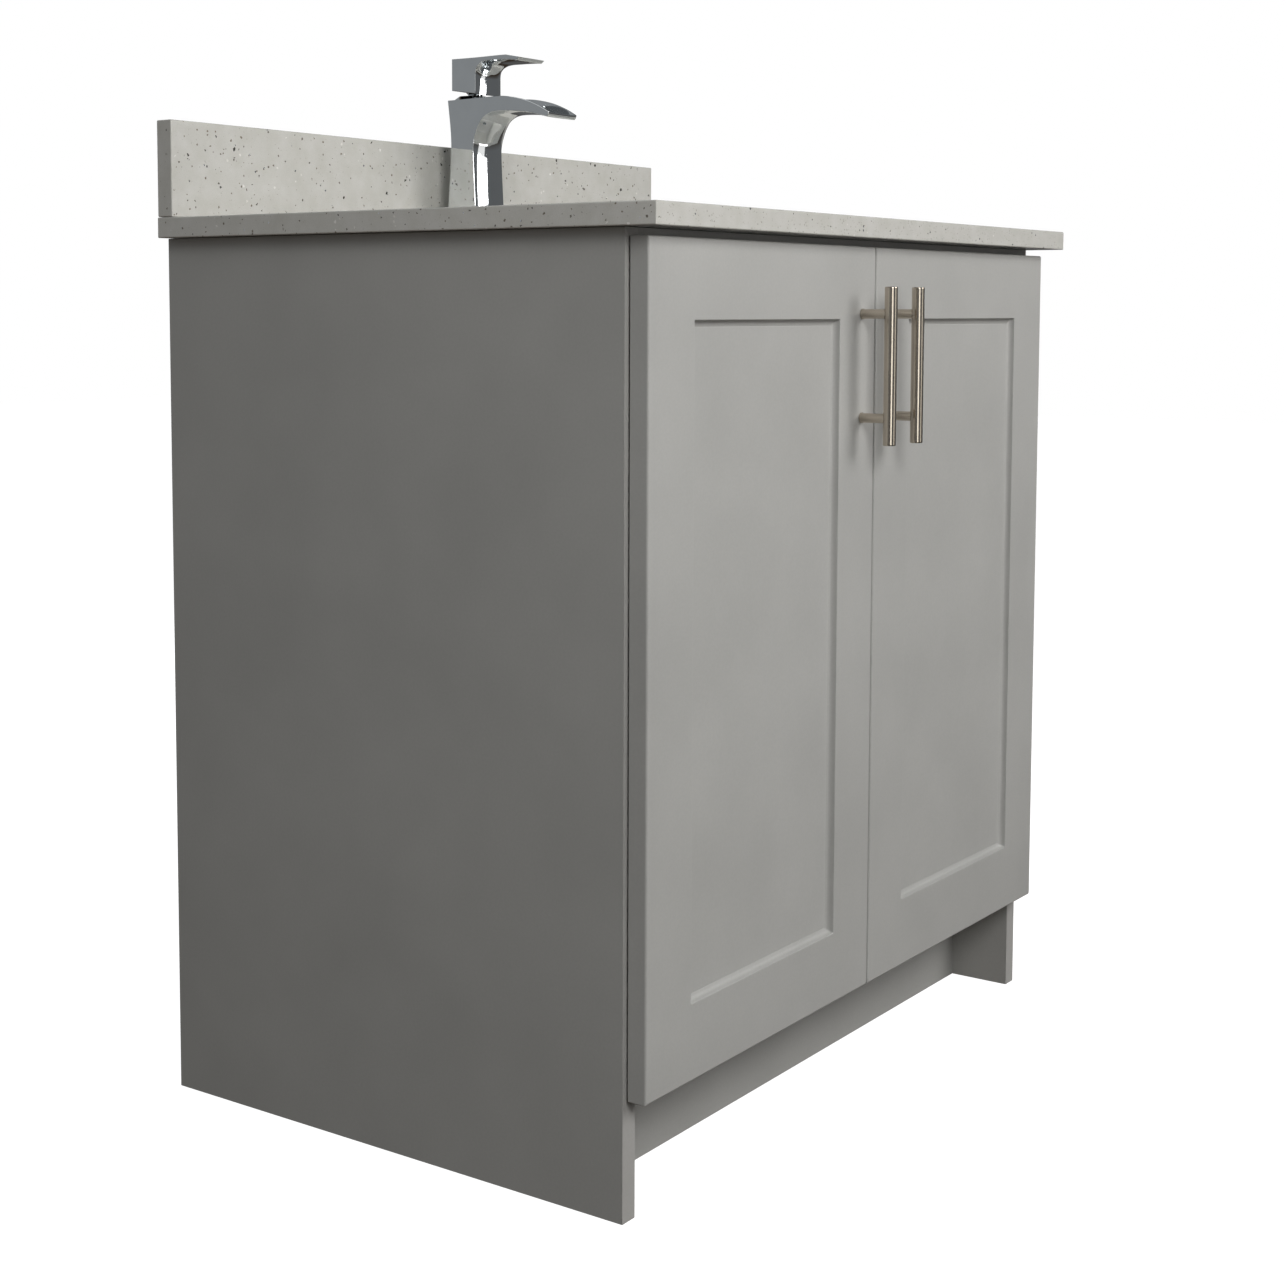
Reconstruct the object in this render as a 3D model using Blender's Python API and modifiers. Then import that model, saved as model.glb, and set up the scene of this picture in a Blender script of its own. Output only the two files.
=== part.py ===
"""A bathroom vanity cabinet: carcass, two framed doors on concealed hinges, stone top, basin, drain and faucet.

Metres, +Z up. X runs from left to right, and Y runs from the doors to the wall. The origin is on the floor, in the
middle of the whole object. Depths are measured back from the carcass's front edge, so what stands in front of it has
a negative depth.
"""

import math

import bmesh
import bpy
from mathutils import Matrix, Vector

# General
GAP = 0.0003  # between pieces that touch
ROUND_SIDES = 24

# Carcass
CABINET_WIDTH = 0.762
CABINET_HEIGHT = 0.813  # floor to the underside of the top
CARCASS_DEPTH = 0.520
PANEL = 0.018
KICK_HEIGHT = 0.103  # floor to the underside of the bottom panel
KICK_SETBACK = 0.065
KICK_THICKNESS = 0.016
FRONT_RAIL_HEIGHT = 0.050
BACK_RAIL_THICKNESS = 0.018
TOP_BACK_RAIL_HEIGHT = 0.120
LOW_BACK_RAIL_HEIGHT = 0.090
BRACE_LEG = 0.055
BRACE_THICKNESS = 0.012

# Stone top
TOP_THICKNESS = 0.019
TOP_SIDE_OVERHANG = 0.0125
TOP_FRONT_OVERHANG = 0.038
SPLASH_HEIGHT = 0.089
SPLASH_THICKNESS = 0.019
STONE_ROUND = 0.0015

# Basin, hung under the top
BASIN_WIDTH = 0.430
BASIN_DEPTH = 0.150
BASIN_SETBACK = 0.070  # carcass front to the front edge of the opening
BASIN_TO_FAUCET = 0.070  # back edge of the opening to the faucet's axis
BASIN_CORNER = 0.050
BASIN_FLOOR_ROUND = 0.030
BASIN_WALL = 0.010
BASIN_FLANGE = 0.025
BASIN_FLANGE_THICKNESS = 0.012

# Drain
DRAIN_BORE_RADIUS = 0.0160
DRAIN_THREAD_RADIUS = 0.0210
DRAIN_FLANGE_RADIUS = 0.0310
DRAIN_FLANGE_THICKNESS = 0.0025
DRAIN_BODY_LENGTH = 0.060
GASKET_THICKNESS = 0.004
DRAIN_NUT_RADIUS = 0.0300
DRAIN_NUT_THICKNESS = 0.010
TAILPIECE_WALL = 0.0015
TAILPIECE_LENGTH = 0.110
TAILPIECE_INSERTION = 0.020
STOPPER_RADIUS = 0.0200
STOPPER_THICKNESS = 0.005
STOPPER_STEM_RADIUS = 0.0045
STOPPER_STEM_LENGTH = 0.030

# Doors
DOOR_THICKNESS = 0.018
DOOR_TO_CARCASS = 0.002
DOOR_SIDE_REVEAL = 0.004
DOOR_TOP_REVEAL = 0.007
DOOR_CENTRE_GAP = 0.002
DOOR_FRAME = 0.067
DOOR_RECESS = 0.006
DOOR_COVE = 0.005
DOOR_ROUND = 0.002

# Concealed hinges. The virtual pivot lies inside the door, near its front outer corner.
PIVOT_FROM_DOOR_EDGE = 0.005
PIVOT_FROM_DOOR_FACE = 0.006
HINGE_FROM_DOOR_END = 0.090
CUP_RADIUS = 0.0173
CUP_DEPTH = 0.0113
CUP_WALL = 0.0011
CUP_RIM = 0.0017  # how far the rim stands out round the cup
CUP_FROM_DOOR_EDGE = 0.0225
CUP_WING_HALF_LENGTH = 0.030
CUP_WING_HALF_WIDTH = 0.011
CUP_WING_THICKNESS = 0.0012
LINK_PIN_RADIUS = 0.0015
LINK_PIN_FROM_PANEL = 0.006
LINK_PIN_DEPTH = 0.003
LINK_BARREL_RADIUS = 0.0032
LINK_HALF_HEIGHT = 0.0045
LINK_THICKNESS = 0.0025
LINK_LENGTH = 0.042
EAR_THICKNESS = 0.0015
EAR_CLEARANCE = 0.0005  # link to each ear
LINK_PIN_HEAD = 0.0004  # how far the pin stands out past the ears
ARM_MOUTH_DEPTH = 0.008
ARM_LENGTH = 0.062
ARM_SHEET = 0.0015
ARM_HALF_HEIGHT = 0.009
ARM_REACH = 0.021  # side panel to the arm's inner face
PLATE_THICKNESS = 0.0032
PLATE_DEPTH = 0.020
PLATE_LENGTH = 0.042
PLATE_HALF_HEIGHT = 0.025

# Bar pulls
PULL_DIAMETER = 0.012
PULL_LENGTH = 0.146
PULL_HOLE_SPACING = 0.096
PULL_POST_DIAMETER = 0.010
PULL_STANDOFF = 0.030  # door face to the middle of the bar
PULL_FROM_DOOR_EDGE = 0.026
PULL_FROM_DOOR_TOP = 0.037
PULL_END_ROUND = 0.001
SCREW_RADIUS = 0.0020
SCREW_HEAD_RADIUS = 0.0040
SCREW_HEAD_THICKNESS = 0.0025
SCREW_INTO_POST = 0.010

# Bumpers
BUMPER_RADIUS = 0.004
BUMPER_FROM_DOOR_EDGE = 0.020
BUMPER_FROM_DOOR_END = 0.009

# Faucet. Heights are above the stone, and reaches are forward of its axis.
FAUCET_FROM_WALL = 0.060
FAUCET_WIDTH = 0.0487
FAUCET_BASE_HALF_DEPTH = 0.0192
FAUCET_HEIGHT = 0.1350
SPOUT_REACH = 0.1150
SPOUT_WALL = 0.0025
NECK_HEIGHT = 0.004
SHANK_RADIUS = 0.012
SHANK_HOLE_RADIUS = 0.0175
SHANK_LENGTH = 0.060
FAUCET_WASHER_RADIUS = 0.025
FAUCET_WASHER_THICKNESS = 0.003
FAUCET_NUT_RADIUS = 0.021
FAUCET_NUT_THICKNESS = 0.010
HANDLE_WIDTH = 0.043
HANDLE_CLEARANCE = 0.0085  # body to the underside of the handle
HANDLE_HEIGHT = 0.0348
HANDLE_HALF_DEPTH = 0.0155
HANDLE_WALL = 0.0032
LEVER_REACH = 0.0750
TILT_CENTRE_RISE = 0.0075  # underside of the handle to the middle of the ball
STEM_RADIUS = 0.0077

# Places worked out from the sizes above
HALF_WIDTH = CABINET_WIDTH / 2
INNER_HALF_WIDTH = HALF_WIDTH - PANEL
DOOR_BACK = -DOOR_TO_CARCASS
DOOR_FACE = DOOR_BACK - DOOR_THICKNESS
PULL_AXIS_DEPTH = DOOR_FACE - PULL_STANDOFF
PULL_RADIUS = PULL_DIAMETER / 2
FRONTMOST_DEPTH = PULL_AXIS_DEPTH - PULL_RADIUS
FRONT_Y = -(CARCASS_DEPTH + FRONTMOST_DEPTH) / 2
DOOR_BOTTOM = KICK_HEIGHT
DOOR_TOP = CABINET_HEIGHT - DOOR_TOP_REVEAL
DOOR_INNER_X = DOOR_CENTRE_GAP / 2
DOOR_OUTER_X = HALF_WIDTH - DOOR_SIDE_REVEAL
STONE_TOP = CABINET_HEIGHT + TOP_THICKNESS
HINGE_HEIGHTS = {"lower": DOOR_BOTTOM + HINGE_FROM_DOOR_END, "upper": DOOR_TOP - HINGE_FROM_DOOR_END}
PIVOT_X = DOOR_OUTER_X - PIVOT_FROM_DOOR_EDGE
PIVOT_DEPTH = DOOR_FACE + PIVOT_FROM_DOOR_FACE
LINK_PIN_X = INNER_HALF_WIDTH - LINK_PIN_FROM_PANEL
PULL_X = DOOR_INNER_X + PULL_FROM_DOOR_EDGE
PULL_POST_HEIGHTS = {
    "lower": DOOR_TOP - PULL_FROM_DOOR_TOP - (PULL_LENGTH + PULL_HOLE_SPACING) / 2,
    "upper": DOOR_TOP - PULL_FROM_DOOR_TOP - (PULL_LENGTH - PULL_HOLE_SPACING) / 2,
}
SIDES = {"left": -1, "right": 1}
FAUCET_DEPTH = CARCASS_DEPTH - FAUCET_FROM_WALL
FAUCET_BASE = STONE_TOP + GAP
HANDLE_BOTTOM = FAUCET_HEIGHT + HANDLE_CLEARANCE
HANDLE_TOP = HANDLE_BOTTOM + HANDLE_HEIGHT
TILT_HEIGHT = HANDLE_BOTTOM + TILT_CENTRE_RISE
BASIN_LENGTH = FAUCET_DEPTH - BASIN_TO_FAUCET - BASIN_SETBACK
BASIN_MIDDLE_DEPTH = BASIN_SETBACK + BASIN_LENGTH / 2
BASIN_FLOOR = CABINET_HEIGHT - BASIN_DEPTH

# A piece drawn from its side has reach along -Y, height along +Z and width along X.
SIDE_VIEW = Matrix(((0, 0, -1), (-1, 0, 0), (0, 1, 0)))
# A piece turned about Z is laid along +Y, into the cabinet.
ALONG_DEPTH = Matrix(((1, 0, 0), (0, 0, 1), (0, -1, 0)))


def clear_scene():
    for obj in list(bpy.data.objects):
        bpy.data.objects.remove(obj, do_unlink=True)


def new_collection(name):
    collection = bpy.data.collections.new(name)
    bpy.context.scene.collection.children.link(collection)
    return collection


def new_material(name, colour, roughness, metallic=0.0):
    material = bpy.data.materials.new(name)
    material.use_nodes = True
    shader = material.node_tree.nodes["Principled BSDF"]
    shader.inputs["Base Color"].default_value = (*colour, 1.0)
    shader.inputs["Roughness"].default_value = roughness
    shader.inputs["Metallic"].default_value = metallic
    return material


def spot(x, depth, height):
    """The point at this depth behind the carcass's front edge."""
    return Vector((x, FRONT_Y + depth, height))


def add_object(name, data, place, turn=None):
    obj = bpy.data.objects.new(name, data)
    obj.matrix_world = Matrix.Translation(place) @ (turn.to_4x4() if turn else Matrix.Identity(4))
    PARTS.objects.link(obj)
    return obj


def mesh_from(bm, name):
    mesh = bpy.data.meshes.new(name)
    bm.to_mesh(mesh)
    bm.free()
    return mesh


def dress(obj, material, parent=None):
    """Gives a finished piece its material, its shading and the body that it moves with."""
    obj.data.materials.append(material)
    obj.data.shade_smooth()
    obj.data.set_sharp_from_angle(angle=math.radians(35))
    if parent:
        obj.parent = parent
        obj.matrix_parent_inverse = parent.matrix_world.inverted()
    return obj


def box(name, low, high):
    """A cuboid between two corners."""
    size = high - low
    bm = bmesh.new()
    bmesh.ops.create_cube(bm, size=1.0)
    bmesh.ops.scale(bm, vec=size, verts=bm.verts)
    return add_object(name, mesh_from(bm, name), (low + high) / 2)


def round_box_edges(obj, width, segments, chosen):
    """Rounds the edges of a box whose middle satisfies the test, given as a point from the box's own centre."""
    bm = bmesh.new()
    bm.from_mesh(obj.data)
    edges = [edge for edge in bm.edges if chosen((edge.verts[0].co + edge.verts[1].co) / 2)]
    bmesh.ops.bevel(bm, geom=edges, offset=width, segments=segments, profile=0.5, affect="EDGES")
    bm.to_mesh(obj.data)
    bm.free()


def rod(name, radius, length, middle, turn=None, sides=ROUND_SIDES):
    """A cylinder along Z, or along the third column of its turn."""
    bm = bmesh.new()
    bmesh.ops.create_cone(bm, cap_ends=True, segments=sides, radius1=radius, radius2=radius, depth=length)
    return add_object(name, mesh_from(bm, name), middle, turn)


def turned(name, profile, place, turn=None, ring=False, steps=ROUND_SIDES):
    """A profile of (radius, height) points, outer side running down, turned about Z. A ring's profile closes."""
    mesh = bpy.data.meshes.new(name)
    edges = [(i, i + 1) for i in range(len(profile) - 1)]
    if ring:
        edges.append((len(profile) - 1, 0))
    mesh.from_pydata([(radius, 0, height) for radius, height in profile], edges, [])
    obj = add_object(name, mesh, place, turn)
    screw = obj.modifiers.new("turn", "SCREW")
    screw.steps = steps
    screw.render_steps = steps
    screw.use_merge_vertices = True
    screw.merge_threshold = 0.00001
    return obj


def outline_solid(name, points, thickness, place, turn=None):
    """A flat outline, thickened both ways from its plane. Each point is (x, y, smooth)."""
    curve = bpy.data.curves.new(name, "CURVE")
    curve.dimensions = "2D"
    curve.fill_mode = "BOTH"
    curve.extrude = thickness / 2
    curve.resolution_u = 5
    spline = curve.splines.new("BEZIER")
    spline.bezier_points.add(len(points) - 1)
    for bezier, (x, y, smooth) in zip(spline.bezier_points, points):
        bezier.co = (x, y, 0)
        bezier.handle_left_type = "AUTO" if smooth else "VECTOR"
        bezier.handle_right_type = "AUTO" if smooth else "VECTOR"
    spline.use_cyclic_u = True
    drawn = add_object(name + "_outline", curve, place, turn)
    graph = bpy.context.evaluated_depsgraph_get()
    mesh = bpy.data.meshes.new_from_object(drawn.evaluated_get(graph))
    bm = bmesh.new()
    bm.from_mesh(mesh)
    bmesh.ops.remove_doubles(bm, verts=bm.verts, dist=0.000001)
    bmesh.ops.recalc_face_normals(bm, faces=bm.faces)
    bm.to_mesh(mesh)
    bm.free()
    matrix = drawn.matrix_world.copy()
    bpy.data.objects.remove(drawn)
    obj = add_object(name, mesh, matrix.to_translation())
    obj.matrix_world = matrix
    return obj


def combine(obj, tool, operation="DIFFERENCE"):
    """Cuts the tool from the object, or joins it on, and puts the tool away."""
    modifier = obj.modifiers.new(tool.name, "BOOLEAN")
    modifier.operation = operation
    modifier.solver = "EXACT"
    modifier.object = tool
    PARTS.objects.unlink(tool)
    CUTTERS.objects.link(tool)
    tool.hide_render = True
    tool.display_type = "WIRE"


def body_empty(name, place):
    empty = bpy.data.objects.new(name, None)
    empty.empty_display_size = 0.05
    empty.location = place
    PARTS.objects.link(empty)
    bpy.context.view_layer.update()
    return empty


# Carcass


def make_side_panels():
    for side, sign in SIDES.items():
        outer, inner = sign * HALF_WIDTH, sign * INNER_HALF_WIDTH
        low = spot(min(outer, inner), 0, 0)
        high = spot(max(outer, inner), CARCASS_DEPTH, CABINET_HEIGHT - GAP)
        dress(box(f"side_panel_{side}", low, high), GREY_LAMINATE)


def cross_board(name, front, back, bottom, top):
    """A board between the side panels."""
    half = INNER_HALF_WIDTH - GAP
    return dress(box(name, spot(-half, front, bottom), spot(half, back, top)), GREY_LAMINATE)


def make_cross_boards():
    floor_top = KICK_HEIGHT + PANEL
    rail_top = CABINET_HEIGHT - GAP
    back_rail_front = CARCASS_DEPTH - BACK_RAIL_THICKNESS
    cross_board("bottom_panel", 0, CARCASS_DEPTH, KICK_HEIGHT, floor_top)
    cross_board("toe_kick", KICK_SETBACK, KICK_SETBACK + KICK_THICKNESS, 0, KICK_HEIGHT - GAP)
    cross_board("front_top_rail", 0, PANEL, rail_top - FRONT_RAIL_HEIGHT, rail_top)
    cross_board("back_rail_top", back_rail_front, CARCASS_DEPTH, rail_top - TOP_BACK_RAIL_HEIGHT, rail_top)
    low_rail_bottom = floor_top + GAP
    low_rail_top = low_rail_bottom + LOW_BACK_RAIL_HEIGHT
    cross_board("back_rail_bottom", back_rail_front, CARCASS_DEPTH, low_rail_bottom, low_rail_top)


def make_corner_braces():
    """Triangular blocks in the top corners, which take the screws of the stone top."""
    corners = {"front": (PANEL + GAP, 1), "back": (CARCASS_DEPTH - BACK_RAIL_THICKNESS - GAP, -1)}
    height = CABINET_HEIGHT - GAP - BRACE_THICKNESS / 2
    for end, (depth, inward) in corners.items():
        for side, sign in SIDES.items():
            points = [(0, 0, False), (-sign * BRACE_LEG, 0, False), (0, inward * BRACE_LEG, False)]
            place = spot(sign * (INNER_HALF_WIDTH - GAP), depth, height)
            brace = outline_solid(f"corner_brace_{end}_{side}", points, BRACE_THICKNESS, place)
            dress(brace, BLACK_PLASTIC)


# Stone top and basin


def rounded_cutter(name, half_width, half_length, bottom, top, corner, floor_round, segments):
    """A box with round upright edges and, where asked, a round floor."""
    tool = box(
        name,
        spot(-half_width, BASIN_MIDDLE_DEPTH - half_length, bottom),
        spot(half_width, BASIN_MIDDLE_DEPTH + half_length, top),
    )
    round_box_edges(tool, corner, segments, lambda middle: abs(middle.z) < 1e-6)
    if floor_round:
        low = (bottom - top) / 2
        round_box_edges(tool, floor_round, 3, lambda middle: middle.z < low + 1e-6)
    return tool


def make_countertop():
    half = HALF_WIDTH + TOP_SIDE_OVERHANG
    top = box(
        "countertop",
        spot(-half, -TOP_FRONT_OVERHANG, CABINET_HEIGHT),
        spot(half, CARCASS_DEPTH, STONE_TOP),
    )
    half_depth = (CARCASS_DEPTH + TOP_FRONT_OVERHANG) / 2
    round_box_edges(top, STONE_ROUND, 1, lambda middle: middle.y < half_depth - STONE_ROUND)
    opening = rounded_cutter(
        "basin_opening",
        BASIN_WIDTH / 2,
        BASIN_LENGTH / 2,
        CABINET_HEIGHT - TOP_THICKNESS,
        STONE_TOP + TOP_THICKNESS,
        BASIN_CORNER,
        0,
        6,
    )
    combine(top, opening)
    hole_middle = spot(0, FAUCET_DEPTH, CABINET_HEIGHT + TOP_THICKNESS / 2)
    combine(top, rod("faucet_hole", SHANK_HOLE_RADIUS, 3 * TOP_THICKNESS, hole_middle))
    dress(top, QUARTZ)


def make_backsplash():
    half = HALF_WIDTH + TOP_SIDE_OVERHANG
    bottom = STONE_TOP + GAP
    splash = box(
        "backsplash",
        spot(-half, CARCASS_DEPTH - SPLASH_THICKNESS, bottom),
        spot(half, CARCASS_DEPTH, bottom + SPLASH_HEIGHT),
    )
    dress(splash, QUARTZ)


def make_basin():
    """A flange glued under the stone, and a bowl that hangs from it."""
    flange_top = CABINET_HEIGHT - GAP
    half_width = BASIN_WIDTH / 2
    half_length = BASIN_LENGTH / 2
    basin = rounded_cutter(
        "basin",
        half_width + BASIN_FLANGE,
        half_length + BASIN_FLANGE,
        flange_top - BASIN_FLANGE_THICKNESS,
        flange_top,
        BASIN_CORNER,
        0,
        6,
    )
    bowl = rounded_cutter(
        "basin_bowl_outside",
        half_width + BASIN_WALL,
        half_length + BASIN_WALL,
        BASIN_FLOOR - BASIN_WALL,
        flange_top - BASIN_FLANGE_THICKNESS / 2,
        BASIN_CORNER + BASIN_WALL,
        BASIN_FLOOR_ROUND + BASIN_WALL,
        6,
    )
    inside = rounded_cutter(
        "basin_bowl_inside",
        half_width,
        half_length,
        BASIN_FLOOR,
        flange_top + BASIN_FLANGE_THICKNESS,
        BASIN_CORNER,
        BASIN_FLOOR_ROUND,
        6,
    )
    combine(basin, bowl, "UNION")
    combine(basin, inside)
    drain_middle = spot(0, BASIN_MIDDLE_DEPTH, BASIN_FLOOR)
    combine(basin, rod("drain_hole", DRAIN_THREAD_RADIUS + GAP, 4 * BASIN_WALL, drain_middle))
    dress(basin, CERAMIC)


def make_drain():
    """The flanged drain body, the gasket and nut that clamp it, and the tailpiece."""
    floor = spot(0, BASIN_MIDDLE_DEPTH, BASIN_FLOOR + GAP)
    body_profile = [
        (DRAIN_BORE_RADIUS, DRAIN_FLANGE_THICKNESS),
        (DRAIN_FLANGE_RADIUS, DRAIN_FLANGE_THICKNESS),
        (DRAIN_FLANGE_RADIUS, 0),
        (DRAIN_THREAD_RADIUS, 0),
        (DRAIN_THREAD_RADIUS, -DRAIN_BODY_LENGTH),
        (DRAIN_BORE_RADIUS, -DRAIN_BODY_LENGTH),
    ]
    dress(turned("drain_body", body_profile, floor, ring=True), CHROME)
    inner = DRAIN_THREAD_RADIUS + GAP
    under_basin = -BASIN_WALL - 2 * GAP
    gasket = ring_profile(inner, DRAIN_NUT_RADIUS, under_basin - GASKET_THICKNESS, under_basin)
    dress(turned("drain_gasket", gasket, floor, ring=True), RUBBER)
    nut_top = floor + Vector((0, 0, under_basin - GASKET_THICKNESS - GAP))
    dress(nut("drain_nut", inner, DRAIN_NUT_RADIUS, DRAIN_NUT_THICKNESS, nut_top, 8), CHROME)
    tail_radius = DRAIN_BORE_RADIUS - GAP
    tail_top = -DRAIN_BODY_LENGTH + TAILPIECE_INSERTION
    tail = ring_profile(tail_radius - TAILPIECE_WALL, tail_radius, tail_top - TAILPIECE_LENGTH, tail_top)
    dress(turned("drain_tailpiece", tail, floor, ring=True), CHROME)


def ring_profile(inner, outer, bottom, top):
    return [(inner, top), (outer, top), (outer, bottom), (inner, bottom)]


def nut(name, inner, outer, thickness, top, sides):
    """A flat-sided nut that hangs down from its top's middle, with a round bore."""
    middle = top - Vector((0, 0, thickness / 2))
    blank = rod(name, outer, thickness, middle, sides=sides)
    combine(blank, rod(f"{name}_bore", inner, 2 * thickness, middle))
    return blank


def make_stopper():
    """The stopper rests over the drain and lifts to let the water out."""
    rest = DRAIN_FLANGE_THICKNESS + GAP
    place = spot(0, BASIN_MIDDLE_DEPTH, BASIN_FLOOR + GAP)
    body = body_empty("stopper_slide", place)
    crown = 0.6 * STOPPER_RADIUS
    profile = [
        (0, rest + STOPPER_THICKNESS),
        (crown, rest + 0.85 * STOPPER_THICKNESS),
        (STOPPER_RADIUS, rest + 0.3 * STOPPER_THICKNESS),
        (STOPPER_RADIUS, rest),
        (STOPPER_STEM_RADIUS, rest),
        (STOPPER_STEM_RADIUS, rest - STOPPER_STEM_LENGTH),
        (0, rest - STOPPER_STEM_LENGTH),
    ]
    dress(turned("drain_stopper", profile, place), CHROME, body)


# Doors


def make_door(side, sign):
    """A one-piece routed door, with its hinge cups, pull and bumpers."""
    body = body_empty(f"door_{side}_pivot", spot(sign * PIVOT_X, PIVOT_DEPTH, 0))
    low_x, high_x = sorted((sign * DOOR_INNER_X, sign * DOOR_OUTER_X))
    door = box(
        f"door_{side}",
        spot(low_x, DOOR_FACE, DOOR_BOTTOM),
        spot(high_x, DOOR_BACK, DOOR_TOP),
    )
    face = -DOOR_THICKNESS / 2 + 1e-6
    round_box_edges(door, DOOR_ROUND, 2, lambda middle: middle.y < face)
    recess = box(
        f"door_{side}_recess",
        spot(low_x + DOOR_FRAME, DOOR_FACE - DOOR_RECESS, DOOR_BOTTOM + DOOR_FRAME),
        spot(high_x - DOOR_FRAME, DOOR_FACE + DOOR_RECESS, DOOR_TOP - DOOR_FRAME),
    )
    round_box_edges(recess, DOOR_COVE, 3, lambda middle: middle.y > DOOR_RECESS - 1e-6)
    combine(door, recess)
    cup_x = sign * (DOOR_OUTER_X - CUP_FROM_DOOR_EDGE)
    bore_depth = CUP_DEPTH + GAP
    for level, height in HINGE_HEIGHTS.items():
        middle = spot(cup_x, DOOR_BACK, height)
        combine(door, rod(f"door_{side}_{level}_cup_bore", CUP_RADIUS + GAP, 2 * bore_depth, middle, ALONG_DEPTH))
    for level, height in PULL_POST_HEIGHTS.items():
        middle = spot(sign * PULL_X, (DOOR_FACE + DOOR_BACK) / 2, height)
        hole = rod(f"door_{side}_{level}_screw_hole", SCREW_RADIUS + GAP, 2 * DOOR_THICKNESS, middle, ALONG_DEPTH, 12)
        combine(door, hole)
    dress(door, GREY_FOIL, body)
    for level in HINGE_HEIGHTS:
        make_hinge_cup(side, sign, level, body)
    make_pull(side, sign, body)
    make_bumpers(side, sign, body)
    make_hinge_links(side, sign, body)


def make_hinge_cup(side, sign, level, body):
    """The cup let into the door, its two wings and the two ears that hold the link's pin."""
    height = HINGE_HEIGHTS[level]
    cup_x = sign * (DOOR_OUTER_X - CUP_FROM_DOOR_EDGE)
    inner = CUP_RADIUS - CUP_WALL
    floor = -CUP_DEPTH + CUP_WALL
    wing_top = GAP + CUP_WING_THICKNESS
    rim = CUP_RADIUS + CUP_RIM
    profile = [
        (0, floor),
        (inner, floor),
        (inner, wing_top),
        (rim, wing_top),
        (rim, GAP),
        (CUP_RADIUS, GAP),
        (CUP_RADIUS, -CUP_DEPTH),
        (0, -CUP_DEPTH),
    ]
    name = f"hinge_cup_{level}_{side}"
    cup = turned(name, profile, spot(cup_x, DOOR_BACK, height), ALONG_DEPTH)
    for end in (-1, 1):
        near, far = end * (CUP_RADIUS - CUP_WALL / 4), end * CUP_WING_HALF_LENGTH
        wing = box(
            f"{name}_wing_{end}",
            spot(cup_x - CUP_WING_HALF_WIDTH, DOOR_BACK + GAP, height + min(near, far)),
            spot(cup_x + CUP_WING_HALF_WIDTH, DOOR_BACK + wing_top, height + max(near, far)),
        )
        combine(cup, wing, "UNION")
        near = end * (LINK_HALF_HEIGHT + EAR_CLEARANCE)
        far = near + end * EAR_THICKNESS
        pin_x = sign * LINK_PIN_X
        ear = box(
            f"{name}_ear_{end}",
            spot(pin_x - LINK_BARREL_RADIUS, DOOR_BACK - CUP_DEPTH + CUP_WALL / 2, height + min(near, far)),
            spot(pin_x + LINK_BARREL_RADIUS, LINK_PIN_DEPTH + LINK_BARREL_RADIUS, height + max(near, far)),
        )
        combine(cup, ear, "UNION")
    pin_length = 2 * (LINK_HALF_HEIGHT + EAR_CLEARANCE + EAR_THICKNESS + LINK_PIN_HEAD)
    pin = rod(f"{name}_pin", LINK_PIN_RADIUS, pin_length, spot(sign * LINK_PIN_X, LINK_PIN_DEPTH, height), sides=12)
    combine(cup, pin, "UNION")
    dress(cup, NICKEL, body)


def make_hinge_links(side, sign, door_body):
    """The straps that fold out of the cups and run in the hinge arms."""
    body = body_empty(f"hinge_links_{side}_pivot", spot(sign * LINK_PIN_X, LINK_PIN_DEPTH, 0))
    body.parent = door_body
    body.matrix_parent_inverse = door_body.matrix_world.inverted()
    bpy.context.view_layer.update()
    for level, height in HINGE_HEIGHTS.items():
        name = f"hinge_link_{level}_{side}"
        pin = spot(sign * LINK_PIN_X, LINK_PIN_DEPTH, height)
        link = rod(name, LINK_BARREL_RADIUS, 2 * LINK_HALF_HEIGHT, pin)
        strap_start = (LINK_PIN_RADIUS + GAP + LINK_BARREL_RADIUS) / 2
        strap = box(
            f"{name}_strap",
            pin + Vector((-LINK_THICKNESS / 2, strap_start, -0.9 * LINK_HALF_HEIGHT)),
            pin + Vector((LINK_THICKNESS / 2, LINK_LENGTH, 0.9 * LINK_HALF_HEIGHT)),
        )
        combine(link, strap, "UNION")
        combine(link, rod(f"{name}_bore", LINK_PIN_RADIUS + GAP, 4 * LINK_HALF_HEIGHT, pin, sides=16))
        dress(link, NICKEL, body)


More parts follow.
